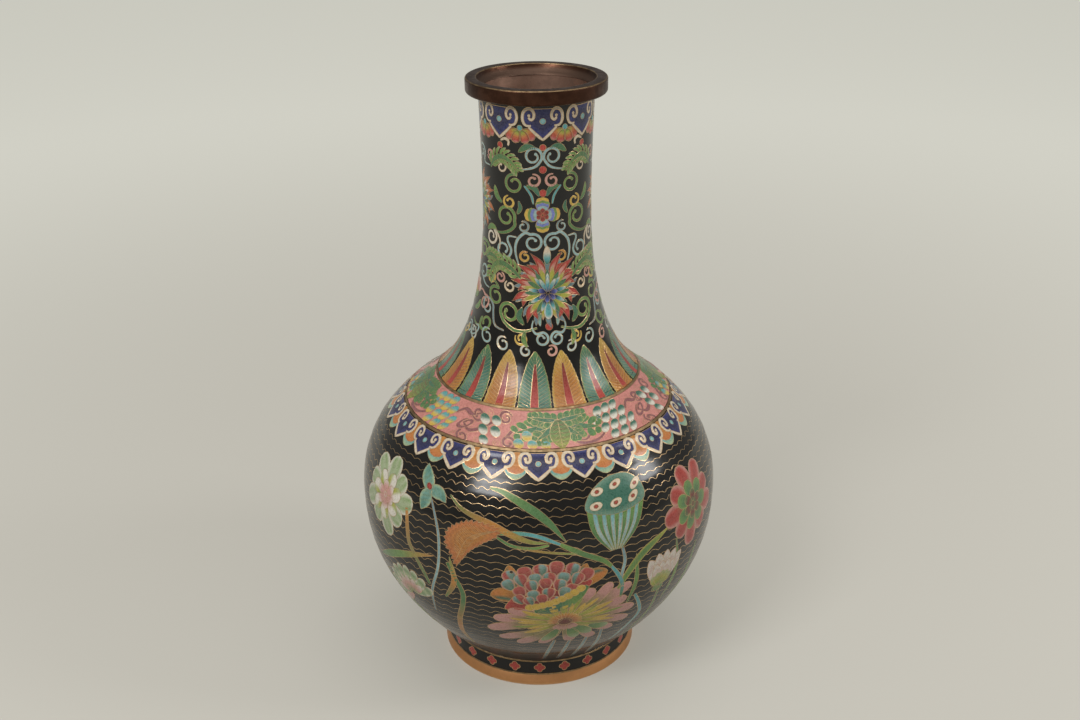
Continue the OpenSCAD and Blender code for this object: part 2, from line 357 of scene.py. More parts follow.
class Inlay:
    """Thin cells of enamel laid on the skin, gathered into one mesh.
    Each cell keeps its own tints and its own island on the mesh's map."""

    def __init__(self, name):
        self.name = name
        self.spots = []
        self.depths = []
        self.tints = []
        self.flats = []
        self.faces = []
        self.count = 0

    def add(self, spots, flat, faces, tints, layer):
        for face in faces:
            a, b, c = (spots[i] for i in face[:3])
            area = (b[0] - a[0]) * (c[1] - a[1]) - (c[0] - a[0]) * (b[1] - a[1])
            if len(face) == 4:
                d = spots[face[3]]
                area += (c[0] - a[0]) * (d[1] - a[1]) - (d[0] - a[0]) * (c[1] - a[1])
            turned = face if area > 0 else face[::-1]
            self.faces.append((tuple(self.count + i for i in turned), len(self.flats)))
        self.spots.append(spots)
        self.depths.append(np.full(len(spots), lift(layer)))
        self.tints.append(np.clip(tints, 0, 1))
        self.flats.append((flat, self.count))
        self.count += len(spots)

    def strip(self, spot, path, halves, tint, layer=0, columns=4):
        """A ribbon, leaf or petal: a path with a half width at each of its points."""
        left = sideways(path)
        halves = np.maximum(halves, 0.06)
        sides = np.linspace(1, -1, columns + 1)
        flat = path[:, None] + left[:, None] * (halves[:, None] * sides)[..., None]
        rows = len(path)
        far = np.repeat(np.linspace(0, 1, rows)[:, None], columns + 1, 1)
        side = np.repeat(sides[None], rows, 0)
        faces = []
        for i in range(rows - 1):
            for j in range(columns):
                a = i * (columns + 1) + j
                faces.append((a, a + 1, a + columns + 2, a + columns + 1))
        flat = flat.reshape(-1, 2)
        self.add(spot.on(flat), flat, faces, tint(far, side).reshape(-1, 3), layer)
        return np.concatenate([flat[::columns + 1], flat[columns::columns + 1][::-1]])

    def patch(self, spot, outline, tint, layer=0, centre=None, ring_step=1.4):
        """A cell that a closed outline bounds, seen whole from its centre."""
        outline = np.asarray(outline, float)
        centre = outline.mean(0) if centre is None else np.asarray(centre, float)
        reach = np.hypot(*(outline - centre).T)
        rings = max(2, int(math.ceil(reach.max() / ring_step)))
        shares = np.arange(1, rings + 1) / rings
        n = len(outline)
        flat = np.concatenate([[centre]] + [centre + (outline - centre) * s for s in shares])
        far = np.concatenate([[0], np.repeat(shares, n)])
        turn = np.arctan2(*(outline - centre).T[::-1])
        side = np.concatenate([[0], np.tile(turn, rings)])
        faces = [(0, 1 + i, 1 + (i + 1) % n) for i in range(n)]
        for k in range(rings - 1):
            for i in range(n):
                a = 1 + k * n + i
                b = 1 + k * n + (i + 1) % n
                faces.append((a, a + n, b + n, b))
        self.add(spot.on(flat), flat, faces, tint(far, side), layer)
        return outline

    def build(self, material, slot):
        """The mesh object of all the cells, as closed thin slabs."""
        spots = np.concatenate(self.spots)
        points = SKIN.places(spots, np.concatenate(self.depths))
        mesh = bpy.data.meshes.new(self.name)
        mesh.from_pydata(points.tolist(), [], [face for face, _ in self.faces])
        attribute = mesh.attributes.new("tint", "FLOAT_COLOR", "POINT")
        tints = np.concatenate(self.tints)
        attribute.data.foreach_set("color", np.column_stack([tints, np.ones(len(tints))]).ravel())
        self.lay_out(mesh)
        piece = link(self.name, mesh)
        thicken(piece, CELL_THICK)
        return finish_piece(piece, material, slot)

    def lay_out(self, mesh):
        """Gives each cell its own island, in rows over the map's square."""
        gap = 0.6
        boxes = [(flat.min(0) - gap / 2, np.ptp(flat, axis=0) + gap) for flat, _ in self.flats]
        order = sorted(range(len(boxes)), key=lambda i: -boxes[i][1][1])
        area = sum(box[1].prod() for box in boxes)
        side = math.sqrt(area)
        while True:
            places = {}
            x = y = row = 0.0
            for i in order:
                width, height = boxes[i][1]
                if x + width > side and x > 0:
                    x, y, row = 0.0, y + row, 0.0
                places[i] = np.array([x, y])
                x += width
                row = max(row, height)
            widest = max(box[1][0] for box in boxes)
            if y + row <= side and widest <= side:
                break
            side *= 1.04
        spread = np.concatenate([
            flat - boxes[i][0] + places[i] for i, (flat, _) in enumerate(self.flats)
        ]) / side
        corners = np.array([v for face, _ in self.faces for v in face])
        layer = mesh.uv_layers.new(name="OFBake", do_init=False)
        layer.uv.foreach_set("vector", spread[corners].astype(np.float32).ravel())


class Wires:
    """Gilt cell wires, laid on the skin and gathered into one mesh."""

    def __init__(self, name):
        self.name = name
        self.points = []
        self.faces = []
        self.count = 0

    def trace(self, spots, closed=False, layer=1, width=None, step=1.1):
        """A wire along rows of angle and arc."""
        width = width or sizes().wire
        spots = np.asarray(spots, float)
        scale = np.radians(1) * SKIN.radius(spots[:, 1].mean())
        flat = spots * [scale, 1]
        flat = spaced(flat, step, closed)
        left = sideways(flat, closed)
        ring = []
        for side, rise in ((1, -0.02), (0, WIRE_RISE), (-1, -0.02)):
            run = (flat + left * side * width / 2) / [scale, 1]
            ring.append(SKIN.places(run, lift(layer) - rise))
        n = len(flat)
        points = np.stack(ring, 1).reshape(-1, 3)
        last = n if closed else n - 1
        for i in range(last):
            a = self.count + 3 * i
            b = self.count + 3 * ((i + 1) % n)
            for j in range(3):
                k = (j + 1) % 3
                self.faces.append((a + j, a + k, b + k, b + j))
        if not closed:
            self.faces.append((self.count + 2, self.count + 1, self.count))
            end = self.count + 3 * (n - 1)
            self.faces.append((end, end + 1, end + 2))
        self.points.append(points)
        self.count += len(points)

    def around(self, spot, outline, layer=1, width=None, step=0.9):
        """A closed wire round a cell's flat outline."""
        self.trace(spot.on(outline), True, layer, width, step)

    def line(self, spot, path, layer=1, width=None, step=1.0):
        """An open wire along a flat path."""
        self.trace(spot.on(path), False, layer, width, step)

    def build(self, material, slot):
        mesh = bpy.data.meshes.new(self.name)
        mesh.from_pydata(np.concatenate(self.points).tolist(), [], self.faces)
        piece = link(self.name, mesh)
        return finish_piece(piece, material, slot)


# ---- meshes ----

def link(name, mesh):
    piece = bpy.data.objects.new(name, mesh)
    bpy.context.scene.collection.objects.link(piece)
    return piece


def only(piece):
    """Makes a piece the one that the next operator works on."""
    bpy.ops.object.select_all(action="DESELECT")
    piece.select_set(True)
    bpy.context.view_layer.objects.active = piece


def thicken(piece, thickness):
    """Turns an open sheet into a closed slab, inwards, by a thickness in millimetres."""
    only(piece)
    slab = piece.modifiers.new("Slab", "SOLIDIFY")
    slab.thickness = thickness * MM
    slab.offset = -1
    bpy.ops.object.modifier_apply(modifier=slab.name)


def finish_piece(piece, material, slot):
    """Shades a piece, gives it its material and slot, and lets it ride on the body."""
    only(piece)
    bpy.ops.object.shade_smooth_by_angle(angle=math.radians(CREASE))
    piece.data.materials.clear()
    piece.data.materials.append(material)
    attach(piece, BODY)
    return piece


def turned(name, loop, material, slot):
    """A turned piece: a closed section of radius and height, in millimetres, spun about the axis."""
    bpy.ops.object.select_all(action="DESELECT")
    bpy.ops.mesh.primitive_circle_add(vertices=len(loop), radius=1)
    piece = bpy.context.object
    piece.name = piece.data.name = name
    for vertex, (radius, height) in zip(piece.data.vertices, loop):
        vertex.co = (radius * MM, 0, height * MM)
    bpy.ops.object.mode_set(mode="EDIT")
    bpy.ops.mesh.select_all(action="SELECT")
    bpy.ops.mesh.spin(steps=sizes().ring_steps, angle=math.tau, center=(0, 0, 0), axis=(0, 0, 1))
    bpy.ops.mesh.select_all(action="SELECT")
    bpy.ops.mesh.remove_doubles(threshold=0.00001)
    bpy.ops.mesh.normals_make_consistent(inside=False)
    bpy.ops.object.mode_set(mode="OBJECT")
    return finish_piece(piece, material, slot)


# ---- materials ----

class Amount:
    """A number that varies over a surface. Arithmetic on amounts adds the Math nodes for it."""

    def __init__(self, finish, socket):
        self.finish = finish
        self.socket = socket

    def maths(self, operation, *others):
        node = self.finish.add("ShaderNodeMath", {"operation": operation})
        for i, value in enumerate(others):
            self.finish.feed(node.inputs[i], value)
        return Amount(self.finish, node.outputs[0])

    def __add__(self, other):
        return self.maths("ADD", self, other)

    def __radd__(self, other):
        return self.maths("ADD", other, self)

    def __sub__(self, other):
        return self.maths("SUBTRACT", self, other)

    def __rsub__(self, other):
        return self.maths("SUBTRACT", other, self)

    def __mul__(self, other):
        return self.maths("MULTIPLY", self, other)

    def __rmul__(self, other):
        return self.maths("MULTIPLY", other, self)

    def between(self, low, high):
        """0 below low, 1 above high, and a soft step between them."""
        node = self.finish.add("ShaderNodeMapRange", {"interpolation_type": "SMOOTHSTEP"},
                               Value=self, From_Min=low, From_Max=high)
        return Amount(self.finish, node.outputs[0])


class Finish:
    """A procedural material on the Principled shader."""

    def __init__(self, name, **constants):
        self.material = bpy.data.materials.new(name)
        self.material.use_nodes = True
        self.tree = self.material.node_tree
        self.shader = self.tree.nodes["Principled BSDF"]
        for socket, value in constants.items():
            value = (*value, 1) if np.ndim(value) and len(value) == 3 else value
            self.shader.inputs[socket.replace("_", " ")].default_value = value
        self.coordinates = self.add("ShaderNodeTexCoord").outputs["Object"]

    def add(self, kind, settings=None, **values):
        """A node of a kind, with its settings, then the values or links of its sockets."""
        node = self.tree.nodes.new(kind)
        for name, value in (settings or {}).items():
            setattr(node, name, value)
        for name, value in values.items():
            self.feed(node.inputs[name.replace("_", " ")], value)
        return node

    def feed(self, socket, value):
        if isinstance(value, Amount):
            self.tree.links.new(value.socket, socket)
        elif isinstance(value, bpy.types.NodeSocket):
            self.tree.links.new(value, socket)
        else:
            socket.default_value = value

    def noise(self, size, detail=3.0, roughness=0.55):
        """Cloudy noise from 0 to 1, with features of a size in millimetres."""
        node = self.add("ShaderNodeTexNoise", Vector=self.coordinates, Scale=1000 / size,
                        Detail=detail, Roughness=roughness)
        return Amount(self, node.outputs["Fac"])

    def axes(self):
        """The object's own axes, in millimetres."""
        split = self.add("ShaderNodeSeparateXYZ", Vector=self.coordinates)
        return [Amount(self, split.outputs[i]) * 1000 for i in range(3)]

    def radius(self):
        """Distance from the upright axis, in millimetres."""
        x, y, _ = self.axes()
        return (x * x + y * y).maths("SQRT", x * x + y * y)

    def grains(self, size):
        """Distance from the nearest of many scattered points, in units of a size in millimetres."""
        node = self.add("ShaderNodeTexVoronoi", Vector=self.coordinates, Scale=1000 / size)
        return Amount(self, node.outputs["Distance"])

    def colour(self, factor, first, second, blend="MIX"):
        node = self.add("ShaderNodeMix", {"data_type": "RGBA", "blend_type": blend})
        inputs = [s for s in node.inputs if s.enabled]
        self.feed(inputs[0], factor)
        for socket, value in zip(inputs[1:], (first, second)):
            if isinstance(value, np.ndarray):
                value = (*value, 1)
            self.feed(socket, value)
        return [s for s in node.outputs if s.enabled][0]

    def bump(self, height, depth, strength=1.0):
        """Bumps the surface by a height from 0 to 1, of a depth in millimetres."""
        node = self.add("ShaderNodeBump", Height=height, Distance=depth * MM, Strength=strength)
        self.tree.links.new(node.outputs[0], self.shader.inputs["Normal"])

    def set(self, **sockets):
        for name, value in sockets.items():
            self.feed(self.shader.inputs[name.replace("_", " ")], value)
        return self.material


def enamel(name, ground, cloud, speck, roughness=0.16, patchy=0.12, worn=None):
    """Fired and polished enamel: clouded colour, specks, pin holes and a slightly uneven gloss.
    The ground is a colour, or None where each cell brings its own tint. Worn is a pair of heights
    in millimetres between which the gloss returns, over the part near the table that has lost it."""
    finish = Finish(name, Specular_IOR_Level=0.36)
    if ground is None:
        node = finish.add("ShaderNodeAttribute", {"attribute_name": "tint"})
        base = node.outputs["Color"]
    else:
        base = (*ground, 1)
    clouds = finish.noise(5.5, 4, 0.6).between(0.35, 0.72)
    fine = finish.noise(0.8, 2, 0.7).between(0.42, 0.7)
    base = finish.colour(clouds * cloud, base, np.array([0.78, 0.76, 0.72]), "MULTIPLY")
    base = finish.colour(fine * speck, base, np.array([0.62, 0.58, 0.54]), "MULTIPLY")
    base = finish.colour((1 - fine) * (speck * 0.3), base, np.array([0.16, 0.15, 0.13]), "SCREEN")
    holes = 1 - finish.grains(2.6).between(0.05, 0.085)
    base = finish.colour(holes * 0.75, base, np.array([0.02, 0.016, 0.014]))
    gloss = finish.noise(14, 3).between(0.3, 0.75)
    rough = roughness + patchy * gloss + 0.35 * holes
    if worn:
        rough = rough + 0.3 * (1 - finish.axes()[2].between(*worn))
    finish.bump(0.5 * finish.noise(2.2, 2) + 0.12 * fine - holes, 0.012, 0.35)
    return finish.set(Base_Color=base, Roughness=rough)


def metal(name, colour, dark, bright, roughness, patch=9.0, bump=0.01, wear_and_highlight=None, throat=None):
    """Worked copper alloy with a patina in its hollows and bright rubbed places.
    Wear is a share of bright metal, from 0 to 1, that the rubbed edges add.
    Throat is a radius in millimetres and the duller colour of the metal inside it."""
    finish = Finish(name, Metallic=1.0)
    patches = finish.noise(patch, 5, 0.65).between(0.38, 0.66)
    grain = finish.noise(0.7, 3, 0.7)
    base = finish.colour(patches, (*dark, 1), (*colour, 1))
    base = finish.colour(grain.between(0.45, 0.8) * 0.35, base, (*dark, 1))
    if wear_and_highlight:
        # Lighter metal at the edge rings: rubbed wear and a painted highlight.
        rubbed_and_highlight = wear_and_highlight(finish) * (0.45 + 0.75 * finish.noise(3.0, 3).between(0.35, 0.65))
        base = finish.colour(rubbed_and_highlight, base, (*bright, 1))
    rough = roughness + 0.22 * grain - 0.1 * patches
    if throat:
        # A painted brightening inside the mouth: a lighter colour that evens out the shade of the sloping wall, and
        # rougher metal.
        inside = 1 - finish.radius().between(throat[0] - 1.2, throat[0])
        base = finish.colour(inside, base, (*throat[1], 1))
        rough = rough + 0.14 * inside
    finish.bump(grain + 0.8 * finish.noise(2.5, 3), bump, 0.5)
    return finish.set(Base_Color=base, Roughness=rough)


MATERIALS = {}


def rubbed_and_highlight_rings(*rings):
    """A share of wear close to some rings of radius, height and reach, in millimetres."""
    def wear_and_highlight(finish):
        radius, z = finish.radius(), finish.axes()[2]
        total = None
        for ring, height, reach in rings:
            off = (radius - ring) * (radius - ring) + (z - height) * (z - height)
            near = 1 - off.between(0, reach * reach)
            total = near if total is None else total.maths("MAXIMUM", total, near)
        return total

    return wear_and_highlight


def ring_edges(node, inset, reach):
    """The top and bottom outer edges of a turned CAD node, as rings that get rubbed."""
    low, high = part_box(node)
    radius = high.x / MM
    return [(radius - inset, high.z / MM, reach), (radius - inset, low.z / MM, reach)]


def make_materials():
    """All the finishes, under the names of the pieces' makers' words."""
    MATERIALS["black"] = enamel("black_enamel", hue("black"), 0.2, 0.02, 0.13, 0.12, (19, 34))
    MATERIALS["pink"] = enamel("pink_enamel", hue("pink_ground"), 0.7, 0.45, 0.2, 0.12)
    MATERIALS["cells"] = enamel("cell_enamel", None, 0.45, 0.55, 0.2, 0.14)
    MATERIALS["foot_flower"] = enamel("foot_flower_enamel", hue("red"), 0.4, 0.5, 0.22, 0.14)
    MATERIALS["base"] = enamel("base_enamel", hue("base"), 0.6, 0.6, 0.25, 0.2)
    gilt = hue("gilt")
    MATERIALS["gilt"] = metal("gilt_wire", gilt, gilt * 0.62, gilt, 0.26, 6.0, 0.004)
    MATERIALS["ring"] = metal("gilt_ring", gilt * 0.7, gilt * 0.35, gilt, 0.38, 5.0, 0.01)
    bronze = hue("bronze")
    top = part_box("mouth_rim")[1].z / MM
    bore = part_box("mouth_rim")[1].x / MM - 5.2
    # The rim's outer edges and the edge of its mouth are lighter: rubbed metal and a painted highlight.
    MATERIALS["bronze"] = metal(
        "rim_bronze", bronze, bronze * 0.6, hue("gilt") * 0.45, 0.36, 8.0, 0.02,
        # Inside the mouth, a lighter colour painted to even out its shade.
        rubbed_and_highlight_rings(*ring_edges("mouth_rim", 0.2, 0.6), (bore, top, 0.5)), (bore - 0.2, hue("throat")))
    foot = hue("foot_copper")
    MATERIALS["foot"] = metal(
        "foot_copper", foot, foot * 0.86, mix(foot, hue("gilt"), 0.4), 0.34, 16.0, 0.008,
        rubbed_and_highlight_rings(*ring_edges("foot_rim", 0.2, 1.4)))
    copper = hue("copper")
    MATERIALS["copper"] = metal("body_copper", copper, copper * 0.55, copper, 0.5, 14.0, 0.02)


# ---- turned pieces ----

def coat_loop(low, high, step=1.3):
    """The section of an enamel coat between two arcs."""
    count = max(3, int((high - low) / step))
    arcs = np.linspace(low, high, count + 1)
    front = np.stack(SKIN.profile(arcs, COAT_DEPTH), 1)
    back = np.stack(SKIN.profile(arcs, COAT_BACK), 1)
    return np.concatenate([front, back[::-1]])


def make_coats():
    """The enamel grounds of the neck, the grape band and the belly."""
    for name, node, material in (
        ("neck_ground", "neck_enamel", "black"),
        ("grape_band_ground", "grape_band_enamel", "pink"),
        ("belly_ground", "belly_enamel", "black"),
    ):
        low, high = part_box(node)
        start = SKIN.arc_at(low.z / MM) if node != "belly_enamel" else SKIN.low
        end = SKIN.arc_at(high.z / MM)
        piece = turned(name, coat_loop(start, end), MATERIALS[material], material + "_enamel")
        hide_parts(node)


def arc_points(centre, radius, start, end, count=10):
    turn = np.radians(np.linspace(start, end, count))
    return np.stack([centre[0] + radius * np.cos(turn), centre[1] + radius * np.sin(turn)], 1)


def make_mouth_rim():
    """The bronze rim, with the socket and bore of the CAD rim, a flat top and a mouth that slopes in."""
    low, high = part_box("mouth_rim")
    outer = high.x / MM
    base, top = low.z / MM, high.z / MM
    bore = min(math.hypot(v.co.x, v.co.y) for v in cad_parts["mouth_rim"].data.vertices) / MM
    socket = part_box("neck_tube")[1].z / MM + 0.05
    neck = SKIN.radius(SKIN.high) - 0.85
    side = 0.9
    inner = outer - 5.3
    loop = np.concatenate([
        [[neck, base], [(neck + outer) / 2, base]],
        arc_points((outer - 1.4, base + 1.4), 1.4, -90, -5),
        [[outer, (base + top) / 2]],
        arc_points((outer - side, top - side), side, 5, 84, 7),
        [[(outer + inner) / 2, top - 0.12]],
        arc_points((inner + 0.5, top - 0.5), 0.5, 94, 170, 6),
        [[inner - 0.3, top - 1.4], [inner - 1.0, top - 2.4], [mix(inner, bore, 0.5), mix(top - 1.8, socket, 0.5)],
         [bore + 0.9, socket + 1.2], [bore + 0.2, socket + 0.6]],
        [[bore, socket], [neck, socket]],
    ])
    piece = turned("mouth_rim_turned", loop, MATERIALS["bronze"], "rim_bronze")
    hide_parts("mouth_rim")


def make_foot_rim():
    """The flared copper ring that the vase stands on, its edges eased by wear."""
    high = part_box("foot_rim")[1]
    outer, top = high.x / MM, high.z / MM
    wall_low, wall_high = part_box("foot_wall")
    wall = wall_high.x / MM
    groove = wall_low.z / MM
    neck = outer - 1.5
    inner = min(math.hypot(v.co.x, v.co.y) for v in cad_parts["foot_rim"].data.vertices) / MM
    thick = 1.55
    loop = np.concatenate([
        arc_points((inner + 0.5, 0.5), 0.5, 180, 270, 5),
        arc_points((outer - 0.7, 0.7), 0.7, -90, 15, 7),
        [[neck + 0.75, top * 0.55], [neck + 0.1, top - 0.6]],
        [[neck - 0.25, top], [wall + 0.05, top], [wall + 0.05, groove],
         [wall - thick, groove], [wall - thick, top], [inner + 0.3, top], [inner, top - 0.3]],
    ])
    piece = turned("foot_rim_turned", loop, MATERIALS["foot"], "foot_copper")
    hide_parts("foot_rim")


def dress_nodes():
    """Finishes for the CAD nodes that stay in sight."""
    dress = {
        "copper": ("lower_bowl", "upper_bowl", "neck_tube", "foot_wall"),
        "black": ("foot_enamel",),
        "foot_flower": ("foot_flower_enamel",),
        "base": ("base_enamel",),
        "ring": ("mouth_wire", "leaf_base_wire", "grape_base_wire", "foot_top_wire",
                 "foot_bottom_wire"),
        "gilt": ("foot_flower_wires",),
    }
    for material, nodes in dress.items():
        for node in nodes:
            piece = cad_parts[node]
            piece.data.materials.clear()
            piece.data.materials.append(MATERIALS[material])


# ---- stage ----

def softbox(name, azimuth, elevation, distance, width, height, power, aim=(0, 0, 0.15)):
    """A soft lamp aimed at the vase, from an azimuth to the right of the front."""
    lamp = bpy.data.lights.new(name, "AREA")
    lamp.shape = "RECTANGLE"
    lamp.size = width
    lamp.size_y = height
    lamp.energy = power
    holder = bpy.data.objects.new(name, lamp)
    a, e = math.radians(azimuth), math.radians(elevation)
    away = Vector((math.sin(a) * math.cos(e), -math.cos(a) * math.cos(e), math.sin(e)))
    holder.location = Vector(aim) + away * distance
    holder.rotation_mode = "QUATERNION"
    holder.rotation_quaternion = away.to_track_quat("Z", "Y")
    holder.visible_camera = False
    bpy.context.scene.collection.objects.link(holder)
    return holder


def paper(name, colour, near, far):
    """Matt paper whose own pale colour shows to the camera and in reflections, from near to far."""
    finish = Finish(name, Base_Color=(*colour, 1), Roughness=0.9, Specular_IOR_Level=0.1)
    rays = finish.add("ShaderNodeLightPath")
    seen = Amount(finish, rays.outputs["Is Camera Ray"])
    seen = seen.maths("MAXIMUM", seen, Amount(finish, rays.outputs["Is Glossy Ray"]))
    length = finish.add("ShaderNodeVectorMath", {"operation": "LENGTH"}, Vector=finish.coordinates)
    away = Amount(finish, length.outputs["Value"]).between(0.15, 1.3)
    glow = finish.colour(away, (*near, 1), (*far, 1))
    finish.set(Emission_Color=finish.colour(seen, (0, 0, 0, 1), glow))
    finish.shader.inputs["Emission Strength"].default_value = 1
    return finish.material


def make_stage():
    """Pale floor, soft lamps and the camera."""
    scene = bpy.context.scene
    scene.view_settings.view_transform = "Standard"
    bpy.ops.object.select_all(action="DESELECT")
    bpy.ops.mesh.primitive_circle_add(vertices=96, radius=5, fill_type="NGON", location=(0, 0, 0))
    floor = bpy.context.object
    floor.name = "floor"
    floor.data.materials.append(paper("floor_paper", (0.34, 0.33, 0.30), (0.22, 0.21, 0.18), (0.46, 0.46, 0.41)))
    world = bpy.data.worlds.new("studio")
    scene.world = world
    world.use_nodes = True
    background = world.node_tree.nodes["Background"]
    background.inputs["Color"].default_value = (0.52, 0.51, 0.48, 1)
    background.inputs["Strength"].default_value = 0.6
    tree = world.node_tree
    haze = tree.nodes.new("ShaderNodeBackground")
    haze.inputs["Color"].default_value = (0.6, 0.59, 0.52, 1)
    rays = tree.nodes.new("ShaderNodeLightPath")
    choice = tree.nodes.new("ShaderNodeMixShader")
    tree.links.new(rays.outputs["Is Camera Ray"], choice.inputs[0])
    tree.links.new(background.outputs[0], choice.inputs[1])
    tree.links.new(haze.outputs[0], choice.inputs[2])
    tree.links.new(choice.outputs[0], tree.nodes["World Output"].inputs["Surface"])
    softbox("window_left", -36, 40, 1.1, 0.36, 0.34, 6.0)
    softbox("window_right", 80, 27, 1.1, 0.28, 0.3, 3.6)
    softbox("ceiling", 20, 80, 1.6, 1.4, 1.4, 10)
    lens = bpy.data.cameras.new("camera")
    lens.lens = 44.0
    lens.sensor_width = 36
    lens.clip_start = 0.01
    camera = bpy.data.objects.new("camera", lens)
    camera.location = (0.0010, -0.6058, 0.4342)
    camera.rotation_mode = "QUATERNION"
    pitch = Quaternion((1, 0, 0), math.radians(90 - 24.21))
    roll = Quaternion((0, 0, 1), math.radians(-0.30))
    camera.rotation_quaternion = pitch @ roll
    scene.collection.objects.link(camera)
    scene.camera = camera


# ---- cells with their wires ----

def widths(count, *shares):
    """Half widths along a path, read off some evenly spaced shares."""
    return np.interp(np.linspace(0, 1, count), np.linspace(0, 1, len(shares)), shares)


def petal_widths(count, half, widest=0.55, blunt=0.6):
    """Half widths of a petal that swells from its foot and closes to a point."""
    far = np.linspace(0, 1, count)
    swell = np.sin(np.pi / 2 * np.minimum(far / widest, 1)) ** 0.8
    close = np.cos(np.pi / 2 * np.clip((far - widest) / (1 - widest), 0, 1)) ** blunt
    return half * (0.25 + 0.75 * swell) * close


class Band:
    """The cells of a group of motifs, with the wires that bound them."""

    def __init__(self, name, wire=None):
        self.cells = Inlay(name + "_cells")
        self.wires = Wires(name + "_wires")
        self.wire = wire
        self.slim = 1.0

    def leaf(self, spot, path, halves, tint, layer=0, columns=4):
        """A cell about a path, with its half widths at the path's points."""
        outline = self.cells.strip(spot, path, halves, tint, layer, columns)
        self.wires.around(spot, outline, layer, self.wire)

    def ribbon(self, spot, points, width, tint, layer=0, root=0.45, tip=0.7, step=0.8):
        path = smooth(points, step)
        halves = widths(len(path), root, 1, 1, 0.9, tip) * width / 2
        self.leaf(spot, path, halves, tint, layer, 2)

    def scroll(self, spot, colour, centre, radius, start, sweep, tail=(), width=1.5, layer=0):
        """A ribbon that winds into a curl, with a round bud on its inner end."""
        width = width * self.slim
        points = [*tail, *curl(centre, radius, start, sweep)]
        self.ribbon(spot, points, width, colour, layer)
        self.dot(spot, points[-1], width * 0.62, colour, layer + 0.4)

    def petal(self, spot, points, half, tint, layer=0, widest=0.55, blunt=0.6, columns=4, step=0.9):
        path = smooth(points, step)
        self.leaf(spot, path, petal_widths(len(path), half, widest, blunt), tint, layer, columns)

    def plume(self, spot, points, half, teeth, tint, tips, layer=0, side=0, hang=0.9, finger=0.85):
        """A feathery leaf: a rib with pointed fingers along it, on one side or on both."""
        path = smooth(points, 0.7)
        normal = sideways(path)
        ahead = np.gradient(path, axis=0)
        ahead /= np.hypot(*ahead.T)[:, None]
        for i in range(teeth):
            share = 0.1 + 0.86 * i / max(teeth - 1, 1)
            at = int(share * (len(path) - 1))
            reach = half * math.sin(math.pi * min(0.93, 0.22 + 0.66 * share)) ** 0.7
            for way in ((1, -1) if side == 0 else (side,)):
                out = normal[at] * way * reach + ahead[at] * reach * hang
                mid = path[at] + normal[at] * way * reach * 0.62 + ahead[at] * reach * hang * 0.25
                self.petal(spot, [path[at], mid, path[at] + out], finger, tips, layer + 0.4 * (i % 2), 0.6, 0.5)
        halves = petal_widths(len(path), half * 0.3, 0.4, 0.8)
        self.leaf(spot, path, halves, tint, layer + 0.9)

    def dot(self, spot, centre, radius, tint, layer=0, tall=1.0, sides=12, lean=0.0):
        turn = np.linspace(0, math.tau, sides, endpoint=False)
        x, y = radius * np.cos(turn), radius * tall * np.sin(turn)
        c, s = math.cos(math.radians(lean)), math.sin(math.radians(lean))
        outline = np.stack([x * c - y * s, x * s + y * c], 1) + centre
        self.shape(spot, outline, tint, layer)

    def shape(self, spot, outline, tint, layer=0, centre=None, ring_step=1.4):
        outline = self.cells.patch(spot, outline, tint, layer, centre, ring_step)
        self.wires.around(spot, outline, layer, self.wire)

    def petals(self, spot, count, inner, outer, half, tint, layer=0, start=90.0, sweep=360.0,
               squash=1.0, widest=0.55, blunt=0.6, bend=0.0):
        """Petals set round a spot, of an even spread over a sweep of degrees."""
        whole = abs(sweep) > 359
        turns = start + sweep * np.arange(count) / (count if whole else count - 1)
        for i, turn in enumerate(turns):
            self.ray(spot, turn, inner, outer, half, tint, layer + 0.4 * (i % 2), squash, widest, blunt, bend)

    def ray(self, spot, turn, inner, outer, half, tint, layer=0, squash=1.0, widest=0.55, blunt=0.6, bend=0.0):
        """One petal that points away from a spot, its tip bent aside by some degrees."""
        def place(reach, angle):
            angle = math.radians(angle)
            return reach * math.cos(angle), reach * math.sin(angle) * squash

        points = [place(inner, turn), place((inner + outer) / 2, turn), place(outer, turn + bend)]
        self.petal(spot, points, half, tint, layer, widest, blunt)

    def tip(self, spot, root, end, half, tint, layer=0, bend=0.0, widest=0.6, blunt=0.5):
        """A petal from a root to its tip, its middle bent aside by some millimetres."""
        root, end = np.array(root, float), np.array(end, float)
        way = (end - root) / np.hypot(*(end - root))
        middle = (root + end) / 2 + np.array([-way[1], way[0]]) * bend
        self.petal(spot, [root, middle, end], half, tint, layer, widest, blunt)

    def build(self):
        if self.cells.count:
            self.cells.build(MATERIALS["cells"], "cell_enamel")
        if self.wires.count:
            self.wires.build(MATERIALS["gilt"], "gilt_wire")


def even(count, first=0.0):
    return [first + 360 * i / count for i in range(count)]


def mirrored(spot):
    return Spot(spot.angle, spot.arc, math.degrees(spot.turn), not spot.flip, spot.size)


def both(spot):
    """A spot and its mirror image."""
    return spot, mirrored(spot)


def grid(*places):
    """Flat places about angle 0, from rows of angle and arc."""
    return [(math.radians(a) * SKIN.radius(s), s) for a, s in places]


# ---- borders ----

